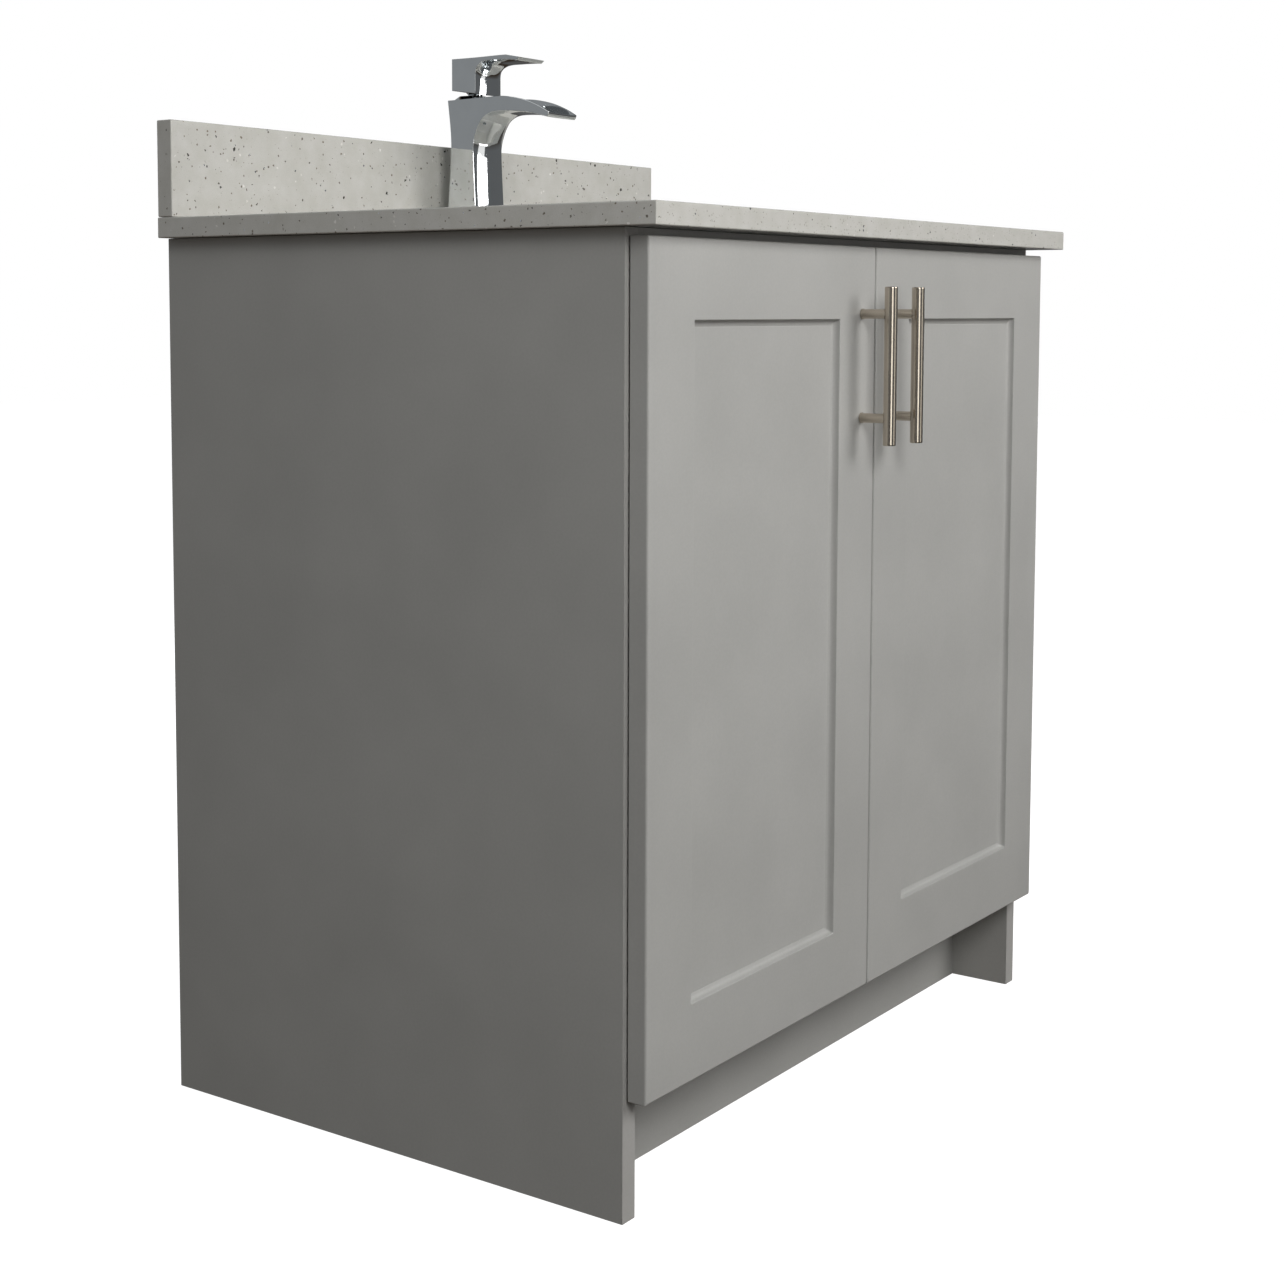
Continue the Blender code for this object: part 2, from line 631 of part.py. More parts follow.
def make_pull(side, sign, body):
    """A bar on two posts, each held by a screw from the back of the door."""
    x = sign * PULL_X
    bar_middle = spot(x, PULL_AXIS_DEPTH, sum(PULL_POST_HEIGHTS.values()) / 2)
    bar = rod(f"pull_bar_{side}", PULL_RADIUS, PULL_LENGTH, bar_middle)
    bevel = bar.modifiers.new("ends", "BEVEL")
    bevel.width = PULL_END_ROUND
    bevel.segments = 2
    bevel.limit_method = "ANGLE"
    bevel.angle_limit = math.radians(60)
    dress(bar, NICKEL, body)
    post_front = PULL_AXIS_DEPTH
    post_back = DOOR_FACE - GAP
    for level, height in PULL_POST_HEIGHTS.items():
        middle = spot(x, (post_front + post_back) / 2, height)
        name = f"pull_post_{level}_{side}"
        post = rod(name, PULL_POST_DIAMETER / 2, post_back - post_front, middle, ALONG_DEPTH)
        combine(post, rod(f"{name}_saddle", PULL_RADIUS + GAP, 2 * PULL_LENGTH / 3, spot(x, post_front, height)))
        hole_length = 2 * (SCREW_INTO_POST + GAP)
        combine(post, rod(f"{name}_thread", SCREW_RADIUS + GAP, hole_length, spot(x, post_back, height), ALONG_DEPTH, 12))
        dress(post, NICKEL, body)
        head_front = DOOR_BACK + GAP
        head_back = head_front + SCREW_HEAD_THICKNESS
        tip = post_back - SCREW_INTO_POST
        profile = [
            (0, head_back),
            (SCREW_HEAD_RADIUS, head_back),
            (SCREW_HEAD_RADIUS, head_front),
            (SCREW_RADIUS, head_front),
            (SCREW_RADIUS, tip),
            (0, tip),
        ]
        screw = turned(f"pull_screw_{level}_{side}", profile, spot(x, 0, height), ALONG_DEPTH, steps=12)
        dress(screw, STEEL, body)


def make_bumpers(side, sign, body):
    x = sign * (DOOR_INNER_X + BUMPER_FROM_DOOR_EDGE)
    front, back = DOOR_BACK + GAP, -GAP
    heights = {"lower": DOOR_BOTTOM + BUMPER_FROM_DOOR_END, "upper": DOOR_TOP - BUMPER_FROM_DOOR_END}
    for level, height in heights.items():
        middle = spot(x, (front + back) / 2, height)
        bumper = rod(f"bumper_{level}_{side}", BUMPER_RADIUS, back - front, middle, ALONG_DEPTH, 16)
        dress(bumper, CLEAR_RUBBER, body)


# The fixed half of the hinges


def make_hinge_mounts(side, sign):
    """On the side panel, a plate and over it the channel-shaped arm."""
    panel_face = INNER_HALF_WIDTH - GAP
    plate_face = panel_face - PLATE_THICKNESS
    arm_face = INNER_HALF_WIDTH - ARM_REACH
    arm_back = ARM_MOUTH_DEPTH + ARM_LENGTH
    for level, height in HINGE_HEIGHTS.items():
        plate_x = sorted((sign * panel_face, sign * plate_face))
        plate = box(
            f"hinge_plate_{level}_{side}",
            spot(plate_x[0], PLATE_DEPTH, height - PLATE_HALF_HEIGHT),
            spot(plate_x[1], PLATE_DEPTH + PLATE_LENGTH, height + PLATE_HALF_HEIGHT),
        )
        dress(plate, NICKEL)
        name = f"hinge_arm_{level}_{side}"
        arm_x = sorted((sign * arm_face, sign * (plate_face - GAP)))
        arm = box(
            name,
            spot(arm_x[0], ARM_MOUTH_DEPTH, height - ARM_HALF_HEIGHT),
            spot(arm_x[1], arm_back, height + ARM_HALF_HEIGHT),
        )
        channel_x = sorted((sign * (arm_face + ARM_SHEET), sign * HALF_WIDTH))
        channel_half = ARM_HALF_HEIGHT - ARM_SHEET
        channel = box(
            f"{name}_channel",
            spot(channel_x[0], ARM_MOUTH_DEPTH - ARM_SHEET, height - channel_half),
            spot(channel_x[1], arm_back - ARM_SHEET, height + channel_half),
        )
        combine(arm, channel)
        dress(arm, NICKEL)


# Faucet


def make_faucet_body():
    """A waisted column and an open, flat spout, drawn from the side, with a low neck under the handle."""
    base, top = FAUCET_BASE_HALF_DEPTH, FAUCET_HEIGHT
    back_waist, front_waist = 0.70 * base, 0.82 * base
    tip, lip = SPOUT_REACH, 0.81 * top
    points = [
        (-base, 0, False),
        (-back_waist, 0.64 * top, True),
        (-0.94 * base, top, False),
        (0.45 * tip, top + 0.001, True),
        (0.80 * tip, 0.957 * top, True),
        (0.94 * tip, 0.911 * top, True),
        (tip, 0.845 * top, False),
        (0.98 * tip, lip, False),
        (0.78 * tip, 0.845 * top, True),
        (0.45 * tip, 0.870 * top, True),
        (0.27 * tip, 0.843 * top, True),
        (0.18 * tip, 0.750 * top, True),
        (front_waist, 0.62 * top, True),
        (base, 0, False),
    ]
    place = spot(0, FAUCET_DEPTH, FAUCET_BASE)
    faucet = outline_solid("faucet_body", points, FAUCET_WIDTH, place, SIDE_VIEW)
    trough = [
        (0.40 * tip, 1.1 * top, False),
        (0.42 * tip, 0.955 * top, False),
        (0.52 * tip, 0.915 * top, True),
        (0.80 * tip, 0.878 * top, True),
        (1.10 * tip, 0.815 * top, False),
        (1.10 * tip, 1.1 * top, False),
    ]
    trough_width = FAUCET_WIDTH - 2 * SPOUT_WALL
    combine(faucet, outline_solid("faucet_trough", trough, trough_width, place, SIDE_VIEW))
    neck = box(
        "faucet_neck",
        place + Vector((-0.39 * FAUCET_WIDTH, -0.75 * base, top - NECK_HEIGHT)),
        place + Vector((0.39 * FAUCET_WIDTH, 0.75 * base, top + NECK_HEIGHT)),
    )
    round_box_edges(neck, 0.95 * NECK_HEIGHT, 1, lambda middle: middle.z > 0.999 * NECK_HEIGHT)
    combine(faucet, neck, "UNION")
    dress(faucet, CHROME)


def make_faucet_fixing():
    """The threaded shank through the stone, and the washer and nut under it."""
    shank_top = spot(0, FAUCET_DEPTH, STONE_TOP)
    dress(rod("faucet_shank", SHANK_RADIUS, SHANK_LENGTH, shank_top - Vector((0, 0, SHANK_LENGTH / 2))), BRASS)
    place = spot(0, FAUCET_DEPTH, CABINET_HEIGHT - GAP)
    inner = SHANK_RADIUS + GAP
    washer = ring_profile(inner, FAUCET_WASHER_RADIUS, -FAUCET_WASHER_THICKNESS, 0)
    dress(turned("faucet_washer", washer, place, ring=True), STEEL)
    nut_top = place - Vector((0, 0, FAUCET_WASHER_THICKNESS + GAP))
    dress(nut("faucet_nut", inner, FAUCET_NUT_RADIUS, FAUCET_NUT_THICKNESS, nut_top, 6), BRASS)


def make_faucet_handle():
    """The stem turns on the neck, and the handle tilts on the stem's ball."""
    place = spot(0, FAUCET_DEPTH, FAUCET_BASE)
    turning = body_empty("faucet_swivel", place)
    ball = HANDLE_HALF_DEPTH - HANDLE_WALL - GAP
    stem_bottom = FAUCET_HEIGHT + NECK_HEIGHT + GAP
    neck_angle = math.asin(STEM_RADIUS / ball)
    arcs = 9
    profile = [(0, TILT_HEIGHT + ball)]
    for i in range(1, arcs + 1):
        angle = (math.pi - neck_angle) * i / arcs
        profile.append((ball * math.sin(angle), TILT_HEIGHT + ball * math.cos(angle)))
    profile += [(STEM_RADIUS, stem_bottom), (0, stem_bottom)]
    dress(turned("faucet_stem", profile, place), BRASS, turning)

    tilting = body_empty("faucet_tilt", place + Vector((0, 0, TILT_HEIGHT)))
    tilting.parent = turning
    tilting.matrix_parent_inverse = turning.matrix_world.inverted()
    bpy.context.view_layer.update()
    half, reach, top = HANDLE_HALF_DEPTH, LEVER_REACH, HANDLE_TOP
    points = [
        (-half, HANDLE_BOTTOM, False),
        (-half, top, False),
        (0.35 * reach, top + 0.0022, True),
        (0.75 * reach, top + 0.0005, True),
        (reach, top - 0.0038, False),
        (0.985 * reach, top - 0.0070, False),
        (0.65 * reach, top - 0.0060, True),
        (0.36 * reach, top - 0.0062, True),
        (half + 0.002, top - 0.0100, True),
        (half, top - 0.0180, True),
        (half, HANDLE_BOTTOM, False),
    ]
    handle = outline_solid("faucet_handle", points, HANDLE_WIDTH, place, SIDE_VIEW)
    hollow_half = HANDLE_HALF_DEPTH - HANDLE_WALL
    hollow = box(
        "faucet_handle_hollow",
        place + Vector((-HANDLE_WIDTH / 2 + HANDLE_WALL, -hollow_half, HANDLE_BOTTOM - NECK_HEIGHT)),
        place + Vector((HANDLE_WIDTH / 2 - HANDLE_WALL, hollow_half, TILT_HEIGHT + ball + GAP)),
    )
    combine(handle, hollow)
    dress(handle, CHROME, tilting)


clear_scene()
PARTS = new_collection("bathroom_vanity")
CUTTERS = new_collection("cutters")

GREY_LAMINATE = new_material("grey_laminate", (0.26, 0.26, 0.25), 0.55)
GREY_FOIL = new_material("grey_foil", (0.30, 0.30, 0.29), 0.50)
QUARTZ = new_material("quartz", (0.62, 0.62, 0.58), 0.25)
CERAMIC = new_material("white_ceramic", (0.80, 0.80, 0.78), 0.12)
CHROME = new_material("chrome", (0.75, 0.76, 0.78), 0.06, 1.0)
NICKEL = new_material("brushed_nickel", (0.52, 0.48, 0.43), 0.35, 1.0)
STEEL = new_material("zinc_steel", (0.55, 0.55, 0.56), 0.40, 1.0)
BRASS = new_material("brass", (0.60, 0.45, 0.20), 0.35, 1.0)
RUBBER = new_material("black_rubber", (0.03, 0.03, 0.03), 0.80)
CLEAR_RUBBER = new_material("clear_rubber", (0.70, 0.70, 0.68), 0.40)
BLACK_PLASTIC = new_material("black_plastic", (0.04, 0.04, 0.04), 0.60)

make_side_panels()
make_cross_boards()
make_corner_braces()
make_countertop()
make_backsplash()
make_basin()
make_drain()
make_stopper()
for door_side, door_sign in SIDES.items():
    make_door(door_side, door_sign)
    make_hinge_mounts(door_side, door_sign)
make_faucet_body()
make_faucet_fixing()
make_faucet_handle()
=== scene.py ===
"""The look of the bathroom vanity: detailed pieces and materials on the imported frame, with a stage and a camera.

World metres, +Z up, the doors towards -Y. Every piece is built where it stands.
"""

import math

import bmesh
import bpy
from mathutils import Matrix, Vector


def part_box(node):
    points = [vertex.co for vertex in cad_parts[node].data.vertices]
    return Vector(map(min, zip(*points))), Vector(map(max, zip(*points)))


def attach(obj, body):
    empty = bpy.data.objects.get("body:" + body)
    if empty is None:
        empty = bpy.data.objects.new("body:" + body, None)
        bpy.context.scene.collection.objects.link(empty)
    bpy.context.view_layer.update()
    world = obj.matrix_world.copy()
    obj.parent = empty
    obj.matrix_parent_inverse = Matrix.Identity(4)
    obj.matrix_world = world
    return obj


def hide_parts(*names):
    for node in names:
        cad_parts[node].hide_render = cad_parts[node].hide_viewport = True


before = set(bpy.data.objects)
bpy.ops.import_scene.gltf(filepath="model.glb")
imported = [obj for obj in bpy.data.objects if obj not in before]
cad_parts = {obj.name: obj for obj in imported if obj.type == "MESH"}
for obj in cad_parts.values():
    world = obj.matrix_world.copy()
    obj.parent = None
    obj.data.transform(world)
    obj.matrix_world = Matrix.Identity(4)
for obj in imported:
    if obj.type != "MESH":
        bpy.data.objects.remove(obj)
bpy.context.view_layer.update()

SIDES = {"left": -1, "right": 1}
LEVELS = ("lower", "upper")
EDGE = 0.0004  # rounding of a sawn board's arris
SHARP = 32  # degrees between two faces from which their edge is shaded as sharp


# Camera at the photograph's viewing angle

CAMERA_PLACE = (-1.7147, -1.1627, 0.7473)
CAMERA_YAW = 0.9496
CAMERA_PITCH = -0.0812
CAMERA_ROLL = 0.0019
CAMERA_LENS = 57.39
CAMERA_SENSOR = 36
CAMERA_SHIFT = (0.0338, -0.1297)
CAMERA_REACH = 60


def make_camera():
    yaw, pitch, roll = CAMERA_YAW, CAMERA_PITCH, CAMERA_ROLL
    ahead = Vector((math.sin(yaw) * math.cos(pitch), math.cos(yaw) * math.cos(pitch), math.sin(pitch)))
    level = Vector((math.cos(yaw), -math.sin(yaw), 0))
    above = level.cross(ahead)
    right = level * math.cos(roll) + above * math.sin(roll)
    up = above * math.cos(roll) - level * math.sin(roll)
    data = bpy.data.cameras.new("camera")
    data.lens = CAMERA_LENS
    data.sensor_width = CAMERA_SENSOR
    data.shift_x, data.shift_y = CAMERA_SHIFT
    data.clip_end = CAMERA_REACH
    camera = bpy.data.objects.new("camera", data)
    turn = Matrix((right, up, -ahead)).transposed().to_4x4()
    camera.matrix_world = Matrix.Translation(CAMERA_PLACE) @ turn
    bpy.context.collection.objects.link(camera)
    bpy.context.scene.camera = camera


# Materials


class Graph:
    """A material's node tree, with short ways to add and join nodes."""

    def __init__(self, name, **shader_values):
        self.material = bpy.data.materials.new(name)
        self.material.use_nodes = True
        self.tree = self.material.node_tree
        self.shader = self.tree.nodes["Principled BSDF"]
        for socket, value in shader_values.items():
            self.shader.inputs[socket.replace("_", " ")].default_value = value

    def node(self, kind, values=(), **settings):
        """A node with these settings. values gives (socket, number, colour or the output that feeds it)."""
        made = self.tree.nodes.new(kind)
        for key, value in settings.items():
            setattr(made, key, value)
        for socket, value in values:
            if isinstance(value, bpy.types.NodeSocket):
                self.tree.links.new(value, made.inputs[socket])
            else:
                made.inputs[socket].default_value = value
        return made

    def place(self, stretch=(1, 1, 1)):
        """Object coordinates in metres, stretched."""
        coordinate = self.node("ShaderNodeTexCoord").outputs["Object"]
        return self.node("ShaderNodeMapping", (("Vector", coordinate), ("Scale", stretch))).outputs[0]

    def noise(self, scale, detail=3.0, stretch=(1, 1, 1), roughness=0.5):
        values = (("Vector", self.place(stretch)), ("Scale", scale), ("Detail", detail), ("Roughness", roughness))
        return self.node("ShaderNodeTexNoise", values).outputs["Fac"]

    def cells(self, scale, place):
        return self.node("ShaderNodeTexVoronoi", (("Vector", place), ("Scale", scale)))

    def parts(self, source):
        """The three parts of a colour."""
        return self.node("ShaderNodeSeparateColor", ((0, source),)).outputs

    def ramp(self, source, *stops):
        """Each stop is (place, grey or colour)."""
        made = self.node("ShaderNodeValToRGB", ((0, source),))
        elements = made.color_ramp.elements
        while len(elements) < len(stops):
            elements.new(0.5)
        for element, (place, value) in zip(elements, stops):
            element.position = place
            element.color = (*value, 1) if isinstance(value, tuple) else (value, value, value, 1)
        return made.outputs[0]

    def math(self, operation, first, second=0.0):
        return self.node("ShaderNodeMath", ((0, first), (1, second)), operation=operation).outputs[0]

    def vector(self, operation, first, second):
        return self.node("ShaderNodeVectorMath", ((0, first), (1, second)), operation=operation).outputs[0]

    def mix(self, amount, first, second, blend="MIX"):
        made = self.node("ShaderNodeMix", ((0, amount), (6, first), (7, second)), data_type="RGBA", blend_type=blend)
        return made.outputs[2]

    def feed(self, socket, source):
        self.tree.links.new(source, self.shader.inputs[socket])

    def bump(self, *layers):
        """Each layer is (height, depth in metres)."""
        normal = None
        for height, depth in layers:
            values = [("Height", height), ("Distance", depth), ("Strength", 1.0)]
            if normal:
                values.append(("Normal", normal))
            normal = self.node("ShaderNodeBump", values).outputs[0]
        self.feed("Normal", normal)


def colour(red, green, blue):
    """An sRGB colour, 0 to 255, as linear light."""
    return tuple(((c / 255 + 0.055) / 1.055) ** 2.4 if c > 10 else c / 255 / 12.92 for c in (red, green, blue))


def rgba(shade):
    return (*shade, 1.0)


def painted_board(name, tint, roughness=0.42):
    """Grey satin foil over board: faint mottling, a fine orange peel and a few paler rubbed patches."""
    g = Graph(name, Roughness=roughness, Specular_IOR_Level=0.42)
    pale = tuple(min(1.0, 1.045 * c) for c in tint)
    deep = tuple(0.955 * c for c in tint)
    mottle = g.ramp(g.noise(9, 4), (0.3, deep), (0.7, pale))
    grain = g.ramp(g.noise(420, 2), (0.35, 0.965), (0.65, 1.0))
    g.feed("Base Color", g.mix(1.0, mottle, grain, "MULTIPLY"))
    wear = g.noise(23, 5, roughness=0.6)
    g.feed("Roughness", g.ramp(wear, (0.25, roughness - 0.05), (0.75, roughness + 0.07)))
    g.bump((g.noise(1500, 1), 0.000012), (g.noise(60, 2), 0.00004))
    return g.material


QUARTZ_PALE = colour(204, 203, 198)
QUARTZ_DEEP = colour(195, 194, 187)
# Cells per metre, the share that hold a chip, the chip's size in its cell, three shades and an offset
QUARTZ_CHIPS = (
    (520, 0.26, 0.36, (colour(158, 155, 147), colour(176, 173, 163), colour(148, 145, 138)), 3.1),
    (300, 0.20, 0.35, (colour(100, 97, 91), colour(126, 117, 103), colour(86, 84, 82)), 8.7),
    (170, 0.090, 0.32, (colour(52, 51, 50), colour(74, 69, 62), colour(44, 44, 44)), 5.3),
    (240, 0.035, 0.36, (colour(221, 220, 215), colour(215, 213, 207), colour(228, 227, 223)), 1.9),
)
MIRROR_CELLS = 420
MIRROR_SHARE = 0.005
MIRROR_SIZE = 0.42
MIRROR_TINT = (0.92, 0.93, 0.95)


def chip_layer(g, base, scale, share, size, shades, offset):
    """The base with one kind of chip over it: a few cells of a warped cell pattern, each in its own shade."""
    warp = g.node("ShaderNodeTexNoise", (("Vector", g.place()), ("Scale", scale * 2.2), ("Detail", 1.0)))
    shift = g.vector("MULTIPLY", warp.outputs["Color"], (0.7 / scale,) * 3)
    moved = g.vector("ADD", g.vector("ADD", g.place(), shift), (offset,) * 3)
    cell = g.cells(scale, moved)
    pick, width, tone = g.parts(cell.outputs["Color"])
    inside = g.math("LESS_THAN", cell.outputs["Distance"], g.math("MULTIPLY", width, size))
    mask = g.math("MULTIPLY", g.math("LESS_THAN", pick, share), inside)
    return g.mix(mask, base, g.ramp(tone, *zip((0.0, 0.5, 1.0), shades)))


def quartz_stone():
    """Cream stone with small grey, brown and near-black chips, pale chips and rare mirror chips, under a polish."""
    g = Graph("quartz", Coat_Weight=0.25, Coat_Roughness=0.05, Specular_IOR_Level=0.5)
    cloud = g.ramp(g.noise(55, 4), (0.3, QUARTZ_DEEP), (0.7, QUARTZ_PALE))
    grains = g.ramp(g.noise(900, 2), (0.3, 0.93), (0.7, 1.0))
    base = g.mix(1.0, cloud, grains, "MULTIPLY")
    for kind in QUARTZ_CHIPS:
        base = chip_layer(g, base, *kind)
    glint = g.cells(MIRROR_CELLS, g.place())
    chosen = g.math("LESS_THAN", g.parts(glint.outputs["Color"])[0], MIRROR_SHARE)
    mirror = g.math("MULTIPLY", chosen, g.math("LESS_THAN", glint.outputs["Distance"], MIRROR_SIZE))
    g.feed("Base Color", g.mix(mirror, base, rgba(MIRROR_TINT)))
    g.feed("Metallic", mirror)
    g.feed("Roughness", g.ramp(g.noise(35, 3), (0.3, 0.13), (0.7, 0.19)))
    g.bump((g.noise(260, 2), 0.00001))
    return g.material


def metal(name, tint, roughness, brushed=None, marks=0.02, mottle=0.06, anisotropy=0.0):
    """A metal with faint smears, and fine marks across the stretched axis if brushed gives a stretch."""
    g = Graph(name, Metallic=1.0, Anisotropic=anisotropy)
    darker = tuple((1 - mottle) * c for c in tint)
    g.feed("Base Color", g.ramp(g.noise(45, 4), (0.35, darker), (0.65, tint)))
    smear = g.ramp(g.noise(70, 5, roughness=0.65), (0.3, roughness), (0.75, roughness + marks))
    if brushed:
        lines = g.noise(1, 2, brushed)
        streaks = g.ramp(lines, (0.3, 0.0), (0.7, 0.015))
        smear = g.math("ADD", smear, streaks)
        g.bump((lines, 0.0000002))
    else:
        g.bump((g.noise(180, 2), 0.000004))
    g.feed("Roughness", smear)
    return g.material


def plastic(name, tint, roughness=0.45, peel=0.00004):
    g = Graph(name, Specular_IOR_Level=0.45)
    lighter = tuple(min(1.0, 1.25 * c + 0.004) for c in tint)
    g.feed("Base Color", g.ramp(g.noise(120, 4), (0.35, tint), (0.8, lighter)))
    g.feed("Roughness", g.ramp(g.noise(60, 4), (0.3, roughness - 0.06), (0.7, roughness + 0.08)))
    g.bump((g.noise(2200, 1), peel))
    return g.material


def glazed():
    g = Graph("ceramic", Coat_Weight=0.6, Coat_Roughness=0.03)
    g.feed("Base Color", g.ramp(g.noise(14, 3), (0.3, colour(232, 231, 226)), (0.7, colour(240, 239, 235))))
    g.feed("Roughness", g.ramp(g.noise(30, 3), (0.3, 0.07), (0.7, 0.12)))
    g.bump((g.noise(28, 2), 0.00012))
    return g.material


def clear_rubber():
    g = Graph("clear_rubber", Transmission_Weight=0.6, IOR=1.42, Roughness=0.28)
    g.feed("Base Color", g.ramp(g.noise(700, 2), (0.3, colour(214, 214, 208)), (0.7, colour(236, 236, 232))))
    g.bump((g.noise(1600, 1), 0.00003))
    return g.material


NICKEL = (0.56, 0.50, 0.42)
DOOR_PAINT = painted_board("door_foil", colour(171, 171, 168), 0.40)
PANEL_FACE = painted_board("panel_melamine", colour(168, 168, 165), 0.46)
EDGE_BAND = painted_board("edge_band", colour(172, 171, 168), 0.38)
QUARTZ = quartz_stone()
CHROME = metal("chrome", (0.79, 0.815, 0.825), 0.035, marks=0.03, mottle=0.03)
PULL_NICKEL = metal("pull_nickel", NICKEL, 0.145, (30, 30, 7000), 0.02, anisotropy=0.6)
POST_NICKEL = metal("post_nickel", NICKEL, 0.15, brushed=(30, 7000, 30), marks=0.03)
HINGE_NICKEL = metal("hinge_nickel", (0.60, 0.58, 0.54), 0.20, marks=0.10)
STEEL = metal("zinc_steel", (0.62, 0.62, 0.64), 0.28, marks=0.12, mottle=0.15)
BRASS = metal("brass", (0.66, 0.48, 0.20), 0.26, marks=0.12, mottle=0.15)
BLACK_PLASTIC = plastic("black_plastic", (0.022, 0.022, 0.022))
BLACK_RUBBER = plastic("black_rubber", (0.014, 0.014, 0.014), 0.62, 0.00007)
CERAMIC = glazed()
CLEAR_RUBBER = clear_rubber()


# Mesh making


def piece(name, bm, material, angle=SHARP):
    """Turns a bmesh into a shaded object."""
    bmesh.ops.recalc_face_normals(bm, faces=bm.faces)
    mesh = bpy.data.meshes.new(name)
    bm.to_mesh(mesh)
    bm.free()
    mesh.materials.append(material)
    mesh.shade_smooth()
    mesh.set_sharp_from_angle(angle=math.radians(angle))
    obj = bpy.data.objects.new(name, mesh)
    bpy.context.collection.objects.link(obj)
    return obj


def stands_for(obj, body, slot, *nodes):
    """The piece moves with the body and hides these CAD nodes. The slot is not used."""
    normals = obj.modifiers.new("normals", "WEIGHTED_NORMAL")
    normals.keep_sharp = True
    normals.weight = 100
    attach(obj, body)
    if nodes:
        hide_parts(*nodes)
    return obj


def cut(obj, *tools):
    """Takes the tools out of the object for good."""
    for tool in tools:
        modifier = obj.modifiers.new("cut", "BOOLEAN")
        modifier.object = tool
        modifier.operation = "DIFFERENCE"
        modifier.solver = "EXACT"
    graph = bpy.context.evaluated_depsgraph_get()
    mesh = bpy.data.meshes.new_from_object(obj.evaluated_get(graph))
    obj.modifiers.clear()
    old = obj.data
    obj.data = mesh
    bpy.data.meshes.remove(old)
    mesh.set_sharp_from_angle(angle=math.radians(SHARP))
    for tool in tools:
        bpy.data.objects.remove(tool, do_unlink=True)
    return obj


def cube_into(bm, low, high):
    low, high = Vector(low), Vector(high)
    made = bmesh.ops.create_cube(bm, size=1.0)["verts"]
    bmesh.ops.scale(bm, vec=high - low, verts=made)
    bmesh.ops.translate(bm, vec=(low + high) / 2, verts=made)
    return made


def board_into(bm, low, high, round_by=EDGE, segments=2):
    """A rounded board between two corners, added to the bmesh."""
    made = cube_into(bm, low, high)
    edges = list({edge for vert in made for edge in vert.link_edges})
    bmesh.ops.bevel(bm, geom=edges, offset=round_by, segments=segments, profile=0.5, affect="EDGES")


def board(name, low, high, material, round_by=EDGE, segments=2):
    bm = bmesh.new()
    board_into(bm, low, high, round_by, segments)
    return piece(name, bm, material)


def arc(middle, radius, start, end, steps):
    """Points (x, y) on an arc, in degrees."""
    turns = [math.radians(start + (end - start) * i / steps) for i in range(steps + 1)]
    return [(middle[0] + radius * math.cos(t), middle[1] + radius * math.sin(t)) for t in turns]


def centre(node):
    """The middle of a CAD node's box."""
    return [(low + high) / 2 for low, high in zip(*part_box(node))]


def join(bm, rings, closed):
    """Quads between each ring of vertices and the next, and from the last to the first if closed."""
    for one, two in zip(rings, rings[1:] + (rings[:1] if closed else [])):
        for i in range(len(one)):
            j = (i + 1) % len(one)
            bm.faces.new((one[i], one[j], two[j], two[i]))


def bridge(bm, rings, closed=False):
    """Joins rings of the same number of points. The two ends are capped, unless the last ring joins the first."""
    made = [[bm.verts.new(point) for point in ring] for ring in rings]
    join(bm, made, closed)
    if not closed:
        bm.faces.new(made[0][::-1])
        bm.faces.new(made[-1])


def turn_into(bm, profile, place, axis="Z", sides=48):
    """A closed profile of (radius, height) points, turned about an axis through place."""

    def point(radius, height, angle):
        a, b = radius * math.cos(angle), radius * math.sin(angle)
        return Vector(place) + Vector({"Z": (a, b, height), "Y": (a, -height, b), "X": (height, a, b)}[axis])

    angles = [2 * math.pi * i / sides for i in range(sides)]
    solid = profile[0][0] < 1e-7 and profile[-1][0] < 1e-7
    rows = profile[1:-1] if solid else profile
    rings = [[bm.verts.new(point(r, h, a)) for a in angles] for r, h in rows]
    join(bm, rings, not solid)
    if solid:
        for ring, (_, height) in ((rings[0], profile[0]), (rings[-1], profile[-1])):
            tip = bm.verts.new(point(0, height, 0))
            for i in range(sides):
                bm.faces.new((ring[i], ring[(i + 1) % sides], tip))


def turned(name, profile, place, material, axis="Z", sides=48):
    bm = bmesh.new()
    turn_into(bm, profile, place, axis, sides)
    return piece(name, bm, material)


def rounded_rod(radius, low, high, round_by, steps=4):
    """The profile of a solid rod with rounded ends."""
    foot = arc((radius - round_by, low + round_by), round_by, -90, 0, steps)
    head = arc((radius - round_by, high - round_by), round_by, 0, 90, steps)
    return [(0, low), *foot, *head, (0, high)]


def hexagon_into(bm, radius, low, high, place, bore, chamfer=0.0012, sides=48):
    """A nut: six flats with turned corners, and a bore."""
    angles = [2 * math.pi * i / sides for i in range(sides)]
    within = math.radians(60)
    flats = [0.9 * radius / math.cos(angle % within - within / 2) for angle in angles]
    ease = chamfer * 0.6
    rows = [(low, radius - chamfer), (low + ease, radius), (high - ease, radius), (high, radius - chamfer)]
    rows += [(high, bore), (low, bore)]
    rings = []
    for height, limit in rows:
        ring = [(min(flat, limit), angle) for flat, angle in zip(flats, angles)]
        rings.append([Vector(place) + Vector((r * math.cos(a), r * math.sin(a), height)) for r, a in ring])
    bridge(bm, rings, closed=True)


def rounded_rectangle(half_width, half_depth, corner, steps=6):
    """Points (x, y) round a rectangle, anticlockwise."""
    corner = max(corner, 1e-5)
    points = []
    for sign_x, sign_y, start in ((1, 1, 0), (-1, 1, 90), (-1, -1, 180), (1, -1, 270)):
        middle = (sign_x * (half_width - corner), sign_y * (half_depth - corner))
        points += arc(middle, corner, start, start + 90, steps)
    return points


